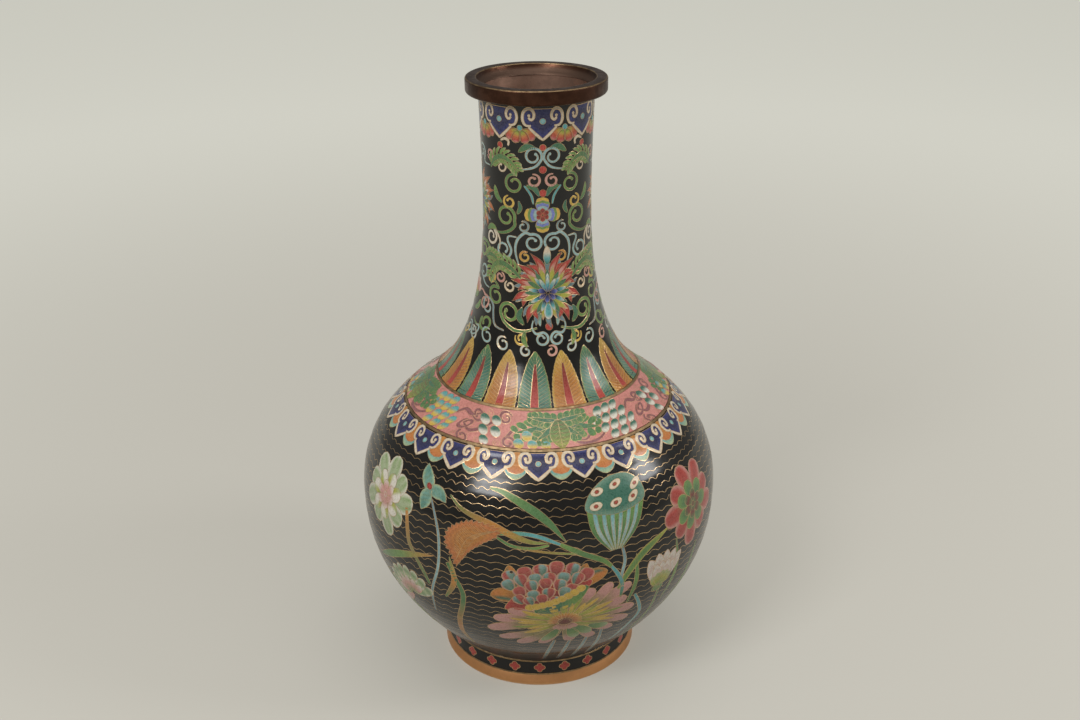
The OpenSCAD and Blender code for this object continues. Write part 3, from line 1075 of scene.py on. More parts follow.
def cloud_head(band, spot, foot, half, height, width, layer=0):
    """A hanging cloud-head lappet: a blue field inside a cream ribbon that ends in two curls."""
    def place(points):
        return [(x * half, foot + y * height) for x, y in points]

    right = [(0, 0.06), (0.30, 0.20), (0.66, 0.40), (0.90, 0.52), (0.98, 0.75), (0.92, 0.99)]
    field = place([*right, *((-x, y) for x, y in right[:0:-1])])
    blue = along("cobalt", "cobalt", "deep_blue")
    band.shape(spot, spaced(field, 1.3, True), blue, layer, (0, foot + height * 0.55))
    cream = plain("cream")
    for side in both(spot):
        band.ribbon(side, place([(-0.02, 0.0), (0.2, 0.115), (0.45, 0.26), (0.70, 0.42)]),
                    width, cream, layer + 1, 0.7, 0.7)
        hook = [(0.58, 0.46), (0.72, 0.45), (0.90, 0.50), (1.0, 0.66), (0.98, 0.84), (0.84, 0.97),
                (0.62, 1.0), (0.45, 0.88), (0.44, 0.72), (0.58, 0.64), (0.70, 0.72)]
        band.ribbon(side, place(hook), width, cream, layer + 1.4, 0.6, 0.8, 0.6)
        band.dot(side, place([(0.68, 0.78)])[0], width * 0.55, cream, layer + 1.8)
    band.dot(spot, (0, foot + height * 0.60), 0.15 * half, along("pale_blue", "turquoise"), layer + 1)


def make_mouth_border():
    """Eight lappets hanging from the mouth, with a tassel between each two."""
    band = Band("mouth_border")
    count = sizes().mouth_lappets
    for angle in even(count, 6):
        spot = Spot(angle)
        cloud_head(band, spot, 300.0, 9.2, 14.4, 1.15, 1.2)
        band.dot(spot, (0, 296.6), 1.5, plain("red"))
    fan = edged(along("green", "yellow_green", "orange", "red", "rose"), "dark_red", 0.88)
    for angle in even(count, 6 - 180 / count):
        spot = Spot(angle)
        for side in both(spot):
            band.petal(side, [(0.4, 304.0), (4.0, 303.4), (6.2, 299.8)], 1.9, fan, 0, 0.66, 0.35)
        band.petal(spot, [(-0.6, 304.4), (-1.8, 301.8), (-2.4, 298.4)], 2.1, fan, 0.4, 0.7, 0.35)
        band.petal(spot, [(0.6, 304.4), (2.0, 301.8), (2.6, 298.4)], 2.1, fan, 0.8, 0.7, 0.35)
        band.dot(spot, (0, 305.5), 1.3, plain("turquoise"), 2.4)
    band.build()


def make_lappets():
    """The border of lappets under the grape band, with a pendant between each two."""
    band = Band("lappet")
    count = sizes().lappets
    for angle in even(count, 180 / count):
        spot = Spot(angle)
        cup = [(-5.4, 139.6), (-4.2, 136.0), (0, 133.6), (4.2, 136.0), (5.4, 139.6), (0, 140.5)]
        band.shape(spot, smooth(cup, 1.0, True), falling("turquoise", "turquoise", "pale_green"), 0, (0, 138))
        band.petal(spot, [(0, 147.0), (0, 142), (0, 136.2)], 4.3, along("ochre", "ochre", "orange"), 0.5, 0.72, 0.35)
    for angle in even(count):
        cloud_head(band, Spot(angle), 133.5, 8.6, 13.1, 1.4, 1)
    band.build()


def make_upright_leaves():
    """Eighteen feathery leaves standing round the foot of the neck, in turn ochre and teal."""
    band = Band("upright_leaf", 0.26)
    ochre = hatched(edged(along("ochre", "ochre", "yellow"), "yellow", 0.8), "brown", 17, 1.7, 0.5)
    teal = hatched(edged(along("teal", "sage", "teal", "green"), "leaf_green", 0.88), "teal", 17, 1.7, 0.5)
    for i, angle in enumerate(even(18, -2)):
        spot = Spot(angle)
        path = spaced([(0, 170.4), (0, 199.4)], 0.5)
        halves = widths(len(path), 8.7, 8.3, 7.9, 7.4, 6.7, 5.8, 4.6, 3.0, 0.5)
        saw = np.linspace(0, 17, len(path)) % 1
        body = teal if i % 2 == 0 else ochre
        layer = 0.6 * (i % 2)
        outline = band.cells.strip(spot, path, halves * (0.9 + 0.1 * saw), body, layer, 12)
        band.wires.around(spot, outline, layer, 0.26)
        rib_path = spaced([(0, 170.6), (0, 193.5)], 1.0)
        band.leaf(spot, rib_path, widths(len(rib_path), 2.0, 1.7, 1.2, 0.4),
                  along("red", "dark_red"), 1.6, 2)
        for side in both(spot):
            for foot in np.arange(170.6, 195, 1.7):
                reach = np.interp(foot + 3.0, [170, 178, 188, 199], [7.9, 7.5, 5.8, 0.4])
                start = np.interp(foot, [170, 193], [2.0, 0.4])
                if reach > start + 0.6:
                    band.wires.line(side, [(start, foot), (reach * 0.55, foot + 1.5), (reach, foot + 3.4)],
                                    layer + 0.3, 0.2)
    band.build()


def grapes(band, angle, places, upper, lower, radius=2.7):
    """Oval grapes, each shaded from one colour at the top to another at the bottom."""
    shade = falling(upper, upper, lower, lower)
    for i, place in enumerate(grid(*places)):
        band.dot(Spot(angle), place, radius * (1, 0.94, 0.97)[i % 3], shade, 0.8 + 0.4 * (i % 3), 1.12, 12, 25)


def vine_leaf(band, angle, place, lobes, size=1.0):
    """A vine leaf of feathery, pointed lobes about its stalk."""
    centre = Spot(angle, 0).at(*grid(place)[0], 0, False, size)
    tips = along("green", "green", "green", "leaf_green")
    for i, (turn, reach, half, bend) in enumerate(lobes):
        way = np.array([math.cos(math.radians(turn)), math.sin(math.radians(turn))])
        side = np.array([-way[1], way[0]]) * bend
        points = [way * 0.3, way * reach * 0.5 + side, way * reach]
        band.plume(centre, points, half, 5, along("teal", "green"), tips, 0.6 + 0.3 * i, 0, 0.95, 1.7)


def make_grape_band():
    """Vine leaves, clusters of grapes and tendrils on the pink band."""
    band = Band("grape", 0.24)
    tendril = plain("purple")
    for quarter in range(4):
        turn = 90 * quarter
        spot = Spot(turn)
        for places in (((-36, 158.4), (-32, 155.6), (-27, 157.6), (-22, 162)),
                       ((14, 154.5), (19, 151.4), (26, 152), (33, 157)),
                       ((-14, 155), (-11, 159.6), (-6, 162)), ((47, 162), (51, 165.4), (56, 163.6), (62, 166.0))):
            band.ribbon(spot, grid(*places), 1.6, tendril, 0, 0.8, 0.8)
        for a, s, start in ((-31.0, 164.4, 200), (-16.0, 165.2, 20), (-33.5, 151.6, 100), (20.4, 156.0, 240),
                            (55.2, 158.6, 130), (-12.6, 152.6, 310)):
            band.scroll(spot, tendril, grid((a, s))[0], 3.1, start, 395, (), 1.35, 0.4)
        for a, s in ((-26, 151.6), (-17.4, 151.8), (27.4, 166.4), (51.6, 151.4), (26.4, 157.0),
                     (-24.6, 166.6), (57, 152)):
            centre = grid((a, s))[0]
            band.wires.line(spot, smooth(curl(centre, 1.9, 60, 640, 0.9), 0.6), -1, 0.25)
        upper, lower = (("teal", "white"), ("turquoise", "yellow"))[quarter % 2]
        grapes(band, turn, ((31.0, 165.6), (36.2, 166.4), (41.4, 166.6), (28.8, 161.6), (33.8, 161.4), (39.0, 162.0),
                            (44.2, 162.0), (31.2, 156.8), (36.4, 157.0), (41.6, 157.4), (46.8, 157.2), (34.2, 152.4),
                            (39.6, 152.6), (45.0, 152.8)), upper, lower, 2.5)
        grapes(band, turn, ((-26.4, 163.0), (-20.4, 163.2), (-25.4, 157.6), (-19.4, 157.6), (-23.4, 152.4)),
               "teal", "white", 2.6)
        grapes(band, turn, ((-8.2, 152.6), (-2.4, 152.2), (-5.0, 156.8), (0.8, 156.4), (3.2, 151.8)),
               "turquoise", "yellow", 2.5)
        vine_leaf(band, turn, (9.5, 164.4), (
            (197, 22, 5.0, 0.8), (-17, 21, 5.0, -0.8), (222, 15, 4.2, 0.6), (-42, 13, 4.2, -0.6),
            (172, 13, 3.4, 0.4), (8, 13, 3.4, -0.4)))
        low = Spot(turn, 0).at(*grid((9.5, 163.6))[0])
        heart = hatched(along("green", "leaf_green", "yellow_green"), "brown", 7, 1.8, 0.6)
        band.tip(low, (0, 1), (0.4, -14.4), 4.8, heart, 4.0, 0, 0.5, 0.8)
        band.wires.line(low, spaced([(0, 0), (0.4, -13)], 0.8), 4.1, 0.3)
        for side in both(low):
            for foot in np.arange(-1.0, -11, -1.9):
                band.wires.line(side, spaced([(0.1, foot), (3.2 + 0.1 * foot, foot - 1.9)], 0.8), 4.1, 0.22)
    band.build()


# ---- waves ----

def make_waves():
    """Rows of wave wires over the belly's ground."""
    wires = Wires("wave_wires")
    rows = sizes().wave_rows
    random = np.random.default_rng(7)
    low, high = 24.0, 132.0
    angles = np.linspace(-180, 180, 580)
    turn = np.radians(angles)
    for row in range(rows):
        arc = high - (high - low) * row / max(rows - 1, 1)
        length = np.interp(arc, [100, 128], [7.0, 5.5])
        humps = max(12, round(math.tau * SKIN.radius(arc) / length))
        drift = sum(random.uniform(0.25, 0.8) / n ** 0.5 * np.sin(turn * n + random.uniform(0, 6.3))
                    for n in (2, 5, 9, 23))
        swing = 0.66 * (1 + 0.4 * np.sin(turn * 7 + random.uniform(0, 6.3)))
        wave = np.sin(turn * humps + 1.6 * drift) + 0.25 * np.sin(2 * turn * humps + 3.2 * drift + 1)
        width = np.interp(arc, [30, 70], [0.2, 0.32])
        wires.trace(np.stack([angles, arc + 0.4 * drift + swing * wave], 1), False, -1.5, width, 1.05)
    wires.build(MATERIALS["gilt"], "gilt_wire")


# ---- the neck ----

def spiky_lotus(band, spot, flame, middle, tips, size=1.0):
    """A lotus from the front: long flame-like petals, then pointed ones, about a dark blue heart."""
    place = Spot(spot.angle, spot.arc, 0, spot.flip, size)
    back = along("teal", "grey_blue", "grey_blue")
    band.petals(place, 14, 9, 16.6, 1.2, back, 0, 12, 360, 1.02, 0.45, 0.9, 5)
    reds = edged(along("dark_red", flame, flame, "dark_red"), "dark_red", 0.8)
    for turn, reach, bend in ((104, 20.5, 9), (76, 20.5, -8), (131, 19.8, 7), (54, 20.8, -7), (157, 18.6, 6),
                              (31, 19.0, -6), (186, 18.2, 9), (-4, 17.8, -9), (225, 17.6, 9), (-45, 17.6, -9)):
        band.ray(place, turn, 7.5, reach, 1.75, reds, 0.9, 1.02, 0.34, 1.3, bend)
        out = 1 if bend > 0 else -1
        band.ray(place, turn + 8 * out, 8.5, reach - 4.2, 1.25, reds, 0.5, 1.02, 0.4, 1.1, bend + 6 * out)
        band.ray(place, turn - 2 * out, 7.5, reach - 4.8, 0.85, along(tips, tips, flame), 1.3, 1.02, 0.4, 1.0,
                 bend * 0.6)
    pale = along(middle, "yellow_green", "yellow_green", tips)
    band.petals(place, 12, 3.5, 13.0, 1.05, pale, 1.6, 105, 360, 1.02, 0.5, 0.9, 3)
    band.petals(place, 12, 3.5, 11.0, 1.15, along("green", "green", "teal"), 2.2, 90, 360, 1.02, 0.5, 0.7)
    band.petals(place, 9, 1.8, 9.4, 0.95, along("deep_blue", "cobalt", "turquoise", "white"), 2.9, 90, 360, 1.0, 0.55)
    band.petals(place, 7, 0.6, 4.8, 1.2, along("black", "deep_blue", "lavender"), 3.4, 110, 360, 1.0, 0.6)
    band.petals(place, 3, 0.4, 7.6, 0.95, along("deep_blue", "turquoise", "white"), 3.9, 60, 60, 1.0, 0.55)
    band.petal(place, [(0, 13.6), (0, 18), (0, 22.6)], 1.75, along("teal", "turquoise", "cream", "cream"), 2.4, 0.45)
    band.petal(place, [(0, -5.2), (0, -8.5), (0, -12.8)], 2.1, edged(plain("turquoise"), "white", 0.7),
               3.2, 0.55, 0.45)
    for side in both(place):
        band.petal(side, [(2.6, -9.4), (4.4, -12), (4.2, -16)], 0.9, along("green", "pale_blue"), 0.3)


def acanthus(band, spot, points, size=1.0):
    """A drooping feathered leaf with pale fingertips."""
    band.plume(spot, points, 4.6 * size, 11, along("green", "green", "leaf_green"),
               along("green", "leaf_green", "leaf_green", "pale_green"), 0.8, 0, 1.0, 0.72)


def low_column(band, flowers, angle):
    """Scrolls, a quatrefoil and a large lotus, one above the other."""
    pale, green, rose = plain("pale_blue"), along("green", "leaf_green"), plain("rose")
    cream, yellow, grey = plain("cream"), plain("yellow"), along("grey_blue", "pale_blue")
    upper = Spot(angle - 2, 2.2)
    for side in both(upper):
        side = mirrored(side)
        band.scroll(side, pale, (4.3, 290.3), 3.9, 205, -430, [(11.2, 284.3), (7.6, 284.2), (3.3, 285.6)], 1.4)
        band.scroll(side, rose, (4.3, 279), 3.0, 80, 400, (), 1.3)
        band.petal(side, [(1.6, 271.6), (4.2, 275.6), (8.0, 276)], 1.3, along("teal", "green"))
        band.petal(side, [(3, 293.8), (7, 294.8), (11.4, 292)], 1.4, along("teal", "green"))
        band.ribbon(side, [(4.4, 267.7), (5.4, 272), (8.6, 276.4)], 1.1, plain("turquoise"))
        acanthus(band, side, [(27.5, 282.6), (24.5, 287.2), (20, 289.0), (15, 287.0), (11, 282.4)], 0.85)
        band.ribbon(side, [(20.5, 296.6), (18, 297.8), (16, 296.6), (16.4, 294.6)], 1.2, cream, 1.8)
        band.scroll(side, cream, (20.2, 284.2), 2.6, 60, 380, [(26.6, 285.6), (23.4, 288.2)], 1.1)
        band.scroll(side, green, (13.6, 277.0), 4.4, 110, -420, [(11.5, 284.6), (13.2, 282.6)], 1.5)
        band.scroll(side, yellow, (16.2, 268.0), 3.0, 80, -400, (), 1.35)
        band.scroll(side, green, (18, 260.8), 4.7, 200, -430,
                    [(28.2, 253.4), (22.2, 252.3), (16.6, 253.9), (13.4, 257.0)], 1.7)
        band.petal(side, [(20.4, 267.0), (23.6, 270), (24.8, 274.6)], 1.4, green)
        band.petal(side, [(11.4, 268.8), (10.6, 265.6), (12.2, 262.4)], 1.0, along("teal", "green"))
        band.scroll(side, grey, (9.2, 256.8), 2.6, 70, 380, (), 1.1)
        band.scroll(side, pale, (4.7, 249.4), 4.1, 70, 430,
                    [(11.4, 237.1), (13.3, 244.4), (12.3, 250.1), (8.5, 253.9)], 1.5)
        band.scroll(side, along("ochre", "yellow"), (8.6, 242.4), 2.5, 120, -400, (), 1.2)
        band.scroll(side, pale, (19.6, 244.6), 4.1, 160, 420, [(12.6, 251.4), (16.6, 251.4), (17.4, 249.4)], 1.4)
        band.scroll(side, rose, (25.6, 240.6), 2.4, 20, 400, (), 1.1)
    for arc, reach in ((284, 1.75), (273, 1.75), (269.2, 0.8)):
        band.dot(upper, (0, arc), reach, plain("red"))
    for turn in (0, 90, 180, 270):
        lobe = Spot(angle - 2.3, 264.8, turn, False, 0.95)
        rows = ((9.0, 3.1, "yellow", 0.5), (7.4, 3.5, "leaf_green", 1.0), (6.2, 3.2, "lavender", 1.6),
                (4.6, 2.5, "pale_blue", 2.1))
        for reach, half, colour, layer in rows:
            band.petal(lobe, [(0, 0.8), (0, reach / 2), (0, reach)], half, along(colour, colour),
                       layer + 0.25 * (turn // 90 % 2), 0.74, 0.4)
    quatrefoil = Spot(angle - 2.3, 264.8)
    band.petals(quatrefoil, 6, 0.3, 3.3, 1.2, along("red", "dark_red", "red"), 2.8, 90, 360, 1.0, 0.6, 0.4)
    lower = Spot(angle + 1.8, 2.4)
    for side in both(lower):
        side = mirrored(side)
        acanthus(band, side, [(12.6, 231.4), (17.4, 235.8), (23, 237.6), (28.4, 235), (32, 228)], 0.95)
        band.scroll(side, rose, (23.8, 230.8), 2.5, 110, 400, (), 1.2, 0.4)
        band.scroll(side, cream, (18.6, 227.2), 2.6, 60, -400, (), 1.2, 0.4)
        band.scroll(side, green, (27, 221.2), 4.2, 120, -410, [(32, 229), (27, 227.6)], 1.5)
        band.scroll(side, green, (19.4, 214.4), 4.7, -35, 430,
                    [(5.8, 208.2), (11.4, 206.6), (17.0, 206.6), (22, 209.6)], 1.9)
        band.scroll(side, grey, (32.7, 214.8), 4.2, 200, -400, [(22.6, 205.4), (28, 207.2)], 1.4)
        band.scroll(side, pale, (3.7, 203.0), 3.1, 100, 410, [(7.4, 211.8), (8.2, 208.4), (6.4, 205.4)], 1.3)
        band.petal(side, [(12.4, 217.5), (14.4, 213.4), (12.0, 209.4)], 1.4, along("teal", "green"), 0.4)
        band.petal(side, [(11.6, 206.6), (12.6, 202.6), (11.0, 198.8)], 1.2, green, 0.4)
    band.dot(lower, (0, 208.8), 1.8, plain("red"))
    spiky_lotus(flowers, Spot(angle + 1.8, 227.4), "red", "leaf_green", "rose")


def high_column(band, flowers, angle):
    """A lotus high on the neck over scrolls and a bud."""
    green, pale = along("green", "leaf_green"), plain("pale_blue")
    rose, cream, yellow = plain("rose"), along("cream", "white"), plain("yellow")
    spiky_lotus(flowers, Spot(angle, 267), "orange", "turquoise", "white", 0.84)
    middle = Spot(angle)
    for side in both(middle):
        band.scroll(side, pale, (4.4, 291.0), 3.4, -25, 400, [(12, 285.6), (7, 286)], 1.3)
        band.scroll(side, rose, (12.6, 291), 2.6, 200, 400, (), 1.2)
        band.scroll(side, cream, (12.5, 251.4), 3.6, 60, -420, [(18.5, 246.4), (18.4, 251), (15.4, 255)], 1.4)
        band.scroll(side, green, (5.0, 243.6), 4.3, 60, 420, [(15.5, 237), (13, 243), (8.6, 247.6)], 1.6)
        band.scroll(side, yellow, (14.8, 231.8), 3.0, 150, -420, (), 1.3)
        band.scroll(side, pale, (7.2, 233.0), 3.5, 210, 420, [(14.4, 226), (10, 227.0)], 1.3)
        band.scroll(side, rose, (12.6, 218.4), 3.4, 100, -420, [(5.4, 222.2), (8.6, 223.4)], 1.3)
        band.scroll(side, green, (17.4, 209), 4.0, 150, 420, [(6, 208), (10, 206.0), (13.4, 206.4)], 1.6)
        band.petal(side, [(3.6, 212.4), (7.4, 214.4), (8.6, 218)], 1.4, green)
        band.petal(side, [(8.6, 254), (12.6, 256.4), (16.0, 255.8)], 1.3, green, 0.2)
        band.scroll(side, pale, (4.2, 202.6), 2.9, 120, -400, (), 1.2)
        acanthus(band, side, [(8, 240), (12, 242.4), (16.4, 241.6), (19.6, 237)], 0.7)
    for arc in (297, 252.5, 237.6, 207.4):
        band.dot(middle, (0, arc), 1.6, plain("red"))
    bud = Spot(angle, 221)
    band.petals(bud, 5, 1.4, 7.6, 2.3, along("red", "rose", "white"), 1, 25, 130, 1.0, 0.55)
    band.petals(bud, 3, 1.0, 5.0, 1.9, along("leaf_green", "green"), 1.8, 215, 110, 1.0, 0.55)
    band.dot(bud, (0, 0), 1.9, along("yellow", "ochre"), 2.6)


def make_neck():
    """The flowers and scrolls of the neck, in four columns."""
    band, flowers = Band("neck_scroll", 0.2), Band("neck_flower", 0.22)
    band.slim = 0.82
    for angle in (8, 188):
        low_column(band, flowers, angle)
    for angle in (98, 278):
        high_column(band, flowers, angle)
    white, pale = along("white", "pale_blue"), plain("pale_blue")
    yellow, rose = plain("yellow"), plain("rose")
    for turn in (0, 180):
        spot = Spot(turn, 2.4)
        for a, s, reach, start, sweep, colour in (
            (-45, 201, 3.6, 60, 400, pale), (-28, 199.4, 3.3, 60, 400, white), (-13.4, 202.8, 3.0, 150, 420, yellow),
            (-9.0, 197.2, 2.6, 60, 380, white), (10.4, 197.2, 2.6, 120, -380, rose),
            (26.4, 198.4, 2.8, 120, -380, white), (32.5, 202.8, 3.0, 30, -420, yellow),
            (45, 200.6, 3.3, 120, -400, pale), (63, 199, 3.0, 60, 400, rose), (80, 200.4, 3.2, 60, 400, white),
            (97, 197.6, 2.6, 120, -400, yellow), (113, 200.4, 3.2, 120, -400, pale), (-63, 199, 3.0, 120, -400, white),
        ):
            band.scroll(spot, colour, grid((a, s))[0], reach, start, sweep, (), 1.2, 0.2)
    band.build()
    flowers.build()


# ---- the belly ----

def belly_stems(band, turn):
    """Stems and blades among the flowers."""
    spot = Spot(turn)

    def stem(places, width, colour, layer=0):
        path = smooth(grid(*places), 1.6)
        band.leaf(spot, path, widths(len(path), 0.7, 1, 1, 1, 0.7) * width / 2, colour, layer, 2)

    def blade(places, half, colour, layer=0.2, widest=0.5):
        path = smooth(grid(*places), 1.5)
        band.leaf(spot, path, petal_widths(len(path), half, widest, 0.9), colour, layer, 4)

    blue, steel = along("turquoise", "pale_blue"), along("grey_blue", "pale_blue", "grey_blue")
    olive = edged(along("leaf_green", "green"), "yellow_green", 0.6)
    dim = along("green", "leaf_green", "green")
    stem([(25.5, 98), (26.4, 90), (25.5, 82), (25.6, 74)], 1.7, steel)
    stem([(-35.8, 117.3), (-32.4, 106.6), (-31.2, 97.4), (-31.9, 83.6), (-35.8, 66.7), (-38, 50)], 1.5, steel)
    stem([(-12.3, 108.1), (-6, 109.0), (0, 107.6), (6.4, 103.5)], 1.9,
         along("leaf_green", "turquoise", "turquoise"), 0.4)
    stem([(6.4, 103.5), (13.2, 97.6), (19.1, 92.8), (22, 88.4)], 2.6, along("leaf_green", "green", "leaf_green"), 0.5)
    stem([(22, 88.4), (24.4, 82.6), (26, 76), (26, 68)], 2.0, along("turquoise", "turquoise", "green"), 0.4)
    stem([(-6.4, 102), (3.4, 99.7), (11.3, 98.2)], 1.0, along("ochre", "leaf_green"))
    stem([(-12.8, 106.6), (-8, 102.8), (-2, 101.8), (3, 103.4)], 1.5, along("green", "leaf_green"), 0.1)
    stem([(-28.4, 88.2), (-26.4, 81.6), (-24, 72), (-25, 62.4), (-27.8, 50.6), (-30, 36), (-30, 20)], 2.6,
         along("green", "green", "ochre", "olive"))
    stem([(-45, 108), (-43.7, 96), (-42.7, 89.5), (-38, 77.5), (-36.2, 71)], 2.4, along("ochre", "olive", "green"))
    stem([(31.4, 66.7), (34.4, 58), (36.6, 48), (34.0, 36), (31, 22)], 2.2, blue, 0.4)
    stem([(42, 62), (42.4, 46), (40.7, 33), (39.5, 16)], 1.9, dim)
    for a, s, b in ((5.4, 38.6, 2), (11.2, 38, 9.4), (17.6, 40.7, 17), (22.4, 43.8, 25)):
        stem([(a, s), ((a + b) / 2, s - 16), (b, 4)], 1.9, steel)
    blade([(-16.2, 128.8), (-11.3, 127.3), (-2.5, 120.4), (3.4, 113.5), (8.3, 104.3)], 2.0,
          along("leaf_green", "green", "green"))
    blade([(-29.4, 121.9), (-24, 116.6), (-14.2, 112), (-8.3, 108.1), (-2.5, 105.1), (2.9, 104.3)], 1.5,
          along("green", "ochre", "leaf_green"), 0.6, 0.6)
    blade([(24.6, 74), (28.6, 84), (34, 92), (43.6, 99)], 2.2, olive, 0.2)
    blade([(29, 62), (31, 76), (30.4, 92)], 1.2, dim, 0)
    blade([(-30.6, 66), (-26.5, 78), (-27.6, 92)], 1.4, along("green", "ochre", "leaf_green"), 0)
    blade([(-62, 70), (-50, 79.5), (-40, 86), (-33, 89.4)], 2.2, along("green", "leaf_green", "ochre"), 0.2, 0.3)
    blade([(-62, 60), (-52, 40), (-46, 16)], 2.2, olive)
    blade([(60, 78), (58, 50), (50, 18)], 2.2, dim)
    blade([(47, 90), (49, 70), (46, 48)], 1.2, dim)
    leaf = smooth(grid((-20.1, 112.4), (-12.3, 110.8), (-12.4, 106.8), (-17.0, 102.2), (-21.0, 97.0),
                       (-23.6, 91.4), (-25.6, 87.8), (-26.8, 93.0), (-29.0, 98.6), (-28.6, 105.0),
                       (-25.4, 109.6)), 0.9, True)
    saw = 1 + 0.07 * (np.arange(len(leaf)) % 3 - 1)
    middle = leaf.mean(0)
    rust = hatched(along("ochre", "ochre", "orange"), "brown", 9, 0.0, 0.45)
    band.shape(spot, middle + (leaf - middle) * saw[:, None], rust, 0.8)
    rib = smooth(grid((-14.5, 109.0), (-21.5, 103.6), (-25.4, 91)), 1.0)
    band.wires.line(spot, rib, 1.0, 0.35)
    for share in np.linspace(0.06, 0.88, 19):
        at = rib[int(share * (len(rib) - 1))]
        for way in ((5.2, 1.6), (-4.8, 3.6)):
            reach = 1.1 - abs(share - 0.3) * 1.0
            middle = at + np.array(way) * reach * 0.5 + (0.6, -0.5)
            band.wires.line(spot, smooth([at, middle, at + np.array(way) * reach], 0.8), 1.0, 0.24)
    sage = hatched(edged(along("sage", "sage", "teal"), "pale_green", 0.86), "turquoise", 5, 1, 0.4)
    for i, (a, b, c, half) in enumerate((((-37.0, 119.6), (-39.4, 126), (-41.4, 132.6), 3.9),
                                         ((-37.4, 120.4), (-33.6, 121.2), (-30.2, 117.6), 3.4),
                                         ((-37.2, 121.4), (-38.2, 116.6), (-39.2, 110.8), 3.4))):
        blade((a, b, c), half, sage, 1.0 + 0.3 * i, 0.45)
    band.dot(spot, grid((-37.9, 122.6))[0], 1.6, along("red", "dark_red"), 2.0)


def lotus_pod(band, turn):
    """A seed pod: a rounded top with seeds in it over a striped cup."""
    spot = Spot(turn)
    middle = grid((25, 118))[0]
    x = middle[0]
    for i in range(13):
        low = (i - 6) / 6
        path = smooth([(x + low * 2.6, 97.0), (x + low * 10.8, 107.5), (x + low * 13.8, 119.4 - 2.4 * (1 - low * low))],
                      1.5)
        halves = widths(len(path), 0.3, 0.9, 1.25, 1.3) * (0.8 if i % 2 else 1.15)
        colour = along("turquoise", "pale_blue", "turquoise") if i % 2 else along("green", "green", "leaf_green")
        band.leaf(spot, path, halves, colour, 1 + 0.3 * (i % 2), 2)
    dome = [(x - 15.6, 118.4), (x - 13.6, 125.4), (x - 7, 131.0), (x, 132.4), (x + 7, 131.0),
            (x + 13.6, 125.4), (x + 15.6, 118.4), (x + 9, 115.4), (x, 114.2), (x - 9, 115.4)]
    band.shape(spot, smooth(dome, 1.4, True), along("teal", "teal", "teal", "sage"), 1.8, (x, 122.5))
    for a, s, lean in ((19.2, 125.9, 0), (26, 127.8, 20), (33.2, 125.8, 40), (18.2, 119.4, 0), (25, 119.4, 10),
                       (31.4, 120.3, 35)):
        seed = grid((a, s))[0]
        band.dot(spot, seed, 3.1, plain("cream"), 2.5, 0.62, 14, lean + 5)
        band.dot(spot, seed, 1.25, along("red", "brown"), 3.1, 0.8, 10)


def open_lotus(band, place, outer, inner, heart, reach=21.0):
    """A lotus seen from the front: broad round petals, smaller ones, and a small heart."""
    count = 9
    for i in range(count):
        turn = 90 + 360 * (i + 0.5) / count
        far = reach * (1 + 0.08 * math.cos(3.1 * i))
        band.ray(place, turn, 5, far, 5.4, outer, 0.4 * (i % 3), 0.94, 0.62, 0.42, 4)
    band.petals(place, 7, 3.5, reach * 0.64, 3.6, inner, 1.6, 108, 360, 0.94, 0.6, 0.45, 4)
    band.petals(place, 6, 1.2, reach * 0.38, 2.3, heart, 2.6, 90, 360, 0.94, 0.6, 0.45)
    band.dot(place, (0, 0), 1.5, heart, 3.4)


def red_flower(band, place):
    """A half-open flower behind another: teal scallops with rose rims over a red bowl."""
    ochre = edged(halved(plain("teal"), along("brown", "ochre", "orange")), "ochre", 0.72)
    for root, end, half, bend in (((10, 4), (17, 14.6), 2.9, -1.2), ((14, 1), (27.5, 8.6), 4.0, 2.0),
                                  ((-15, -5), (-28.5, -3.4), 4.2, -1.6), ((-15, 3), (-19.4, 14.8), 3.0, 1.0)):
        band.tip(place, root, end, half, ochre, 0.2, bend, 0.55, 0.6)
    band.dot(place, (-18.2, 11.2), 0.9, plain("black"), 1.0)
    bowl = [(-21.5, -11.4), (-17, -2), (-14, 8), (-8, 13), (0, 15.5), (7, 12.5), (13, 8), (20, 4.4),
            (15, -1.6), (5, -7), (-4, -10.4), (-12, -11.4)]
    band.shape(place, smooth(bowl, 1.4, True), along("red", "dark_red", "red"), 0.6, (-2, 1))
    blue = edged(hatched(along("teal", "teal", "turquoise"), "white", 0.2, 3.2, 0.25), "rose", 0.9)
    warm = edged(hatched(along("dark_red", "red"), "rose", 0.2, 3.2, 0.2), "rose", 0.92)
    foot = np.array([-1.0, -24.0])
    for row, (reach, first, last, count, size) in enumerate((
        (37.0, 119, 61, 6, 3.7), (32.6, 124, 66, 6, 3.4), (28.2, 119, 66, 5, 3.3), (23.8, 125, 72, 4, 3.2),
        (19.6, 116, 80, 3, 2.9),
    )):
        for i, turn in enumerate(np.radians(np.linspace(first, last, count))):
            way = np.array([math.cos(turn), math.sin(turn)])
            middle = foot + way * (reach + 0.9 * math.sin(5.0 * i + 2.0 * row))
            points = [middle - way * size, middle, middle + way * size * (1 + 0.1 * (i % 2))]
            tint = (halved(warm, blue), halved(blue, warm), warm, blue)[(2 * i + 3 * row) % 4]
            band.petal(place, points, size * 0.98, tint, 0.9 + 0.35 * row + 0.15 * (i % 2), 0.62, 0.36, 6, 0.6)
    low = [(-7.5, -12.6), (0, -11.6), (8, -8.0), (14, -3.0), (17.5, 2.0)]
    band.ribbon(place, low, 5.6, along("green", "teal", "leaf_green", "green"), 2.7, 0.4, 0.4, 1.0)
    for i, far in enumerate(np.linspace(0, 1, 9)):
        x = -9.6 + 24.0 * far
        y = -10.2 + 4.2 * far + 6.4 * far * far
        band.dot(place, (x, y + 0.4), 2.3, plain("yellow"), 3.1 + 0.3 * (i % 2), 0.9)


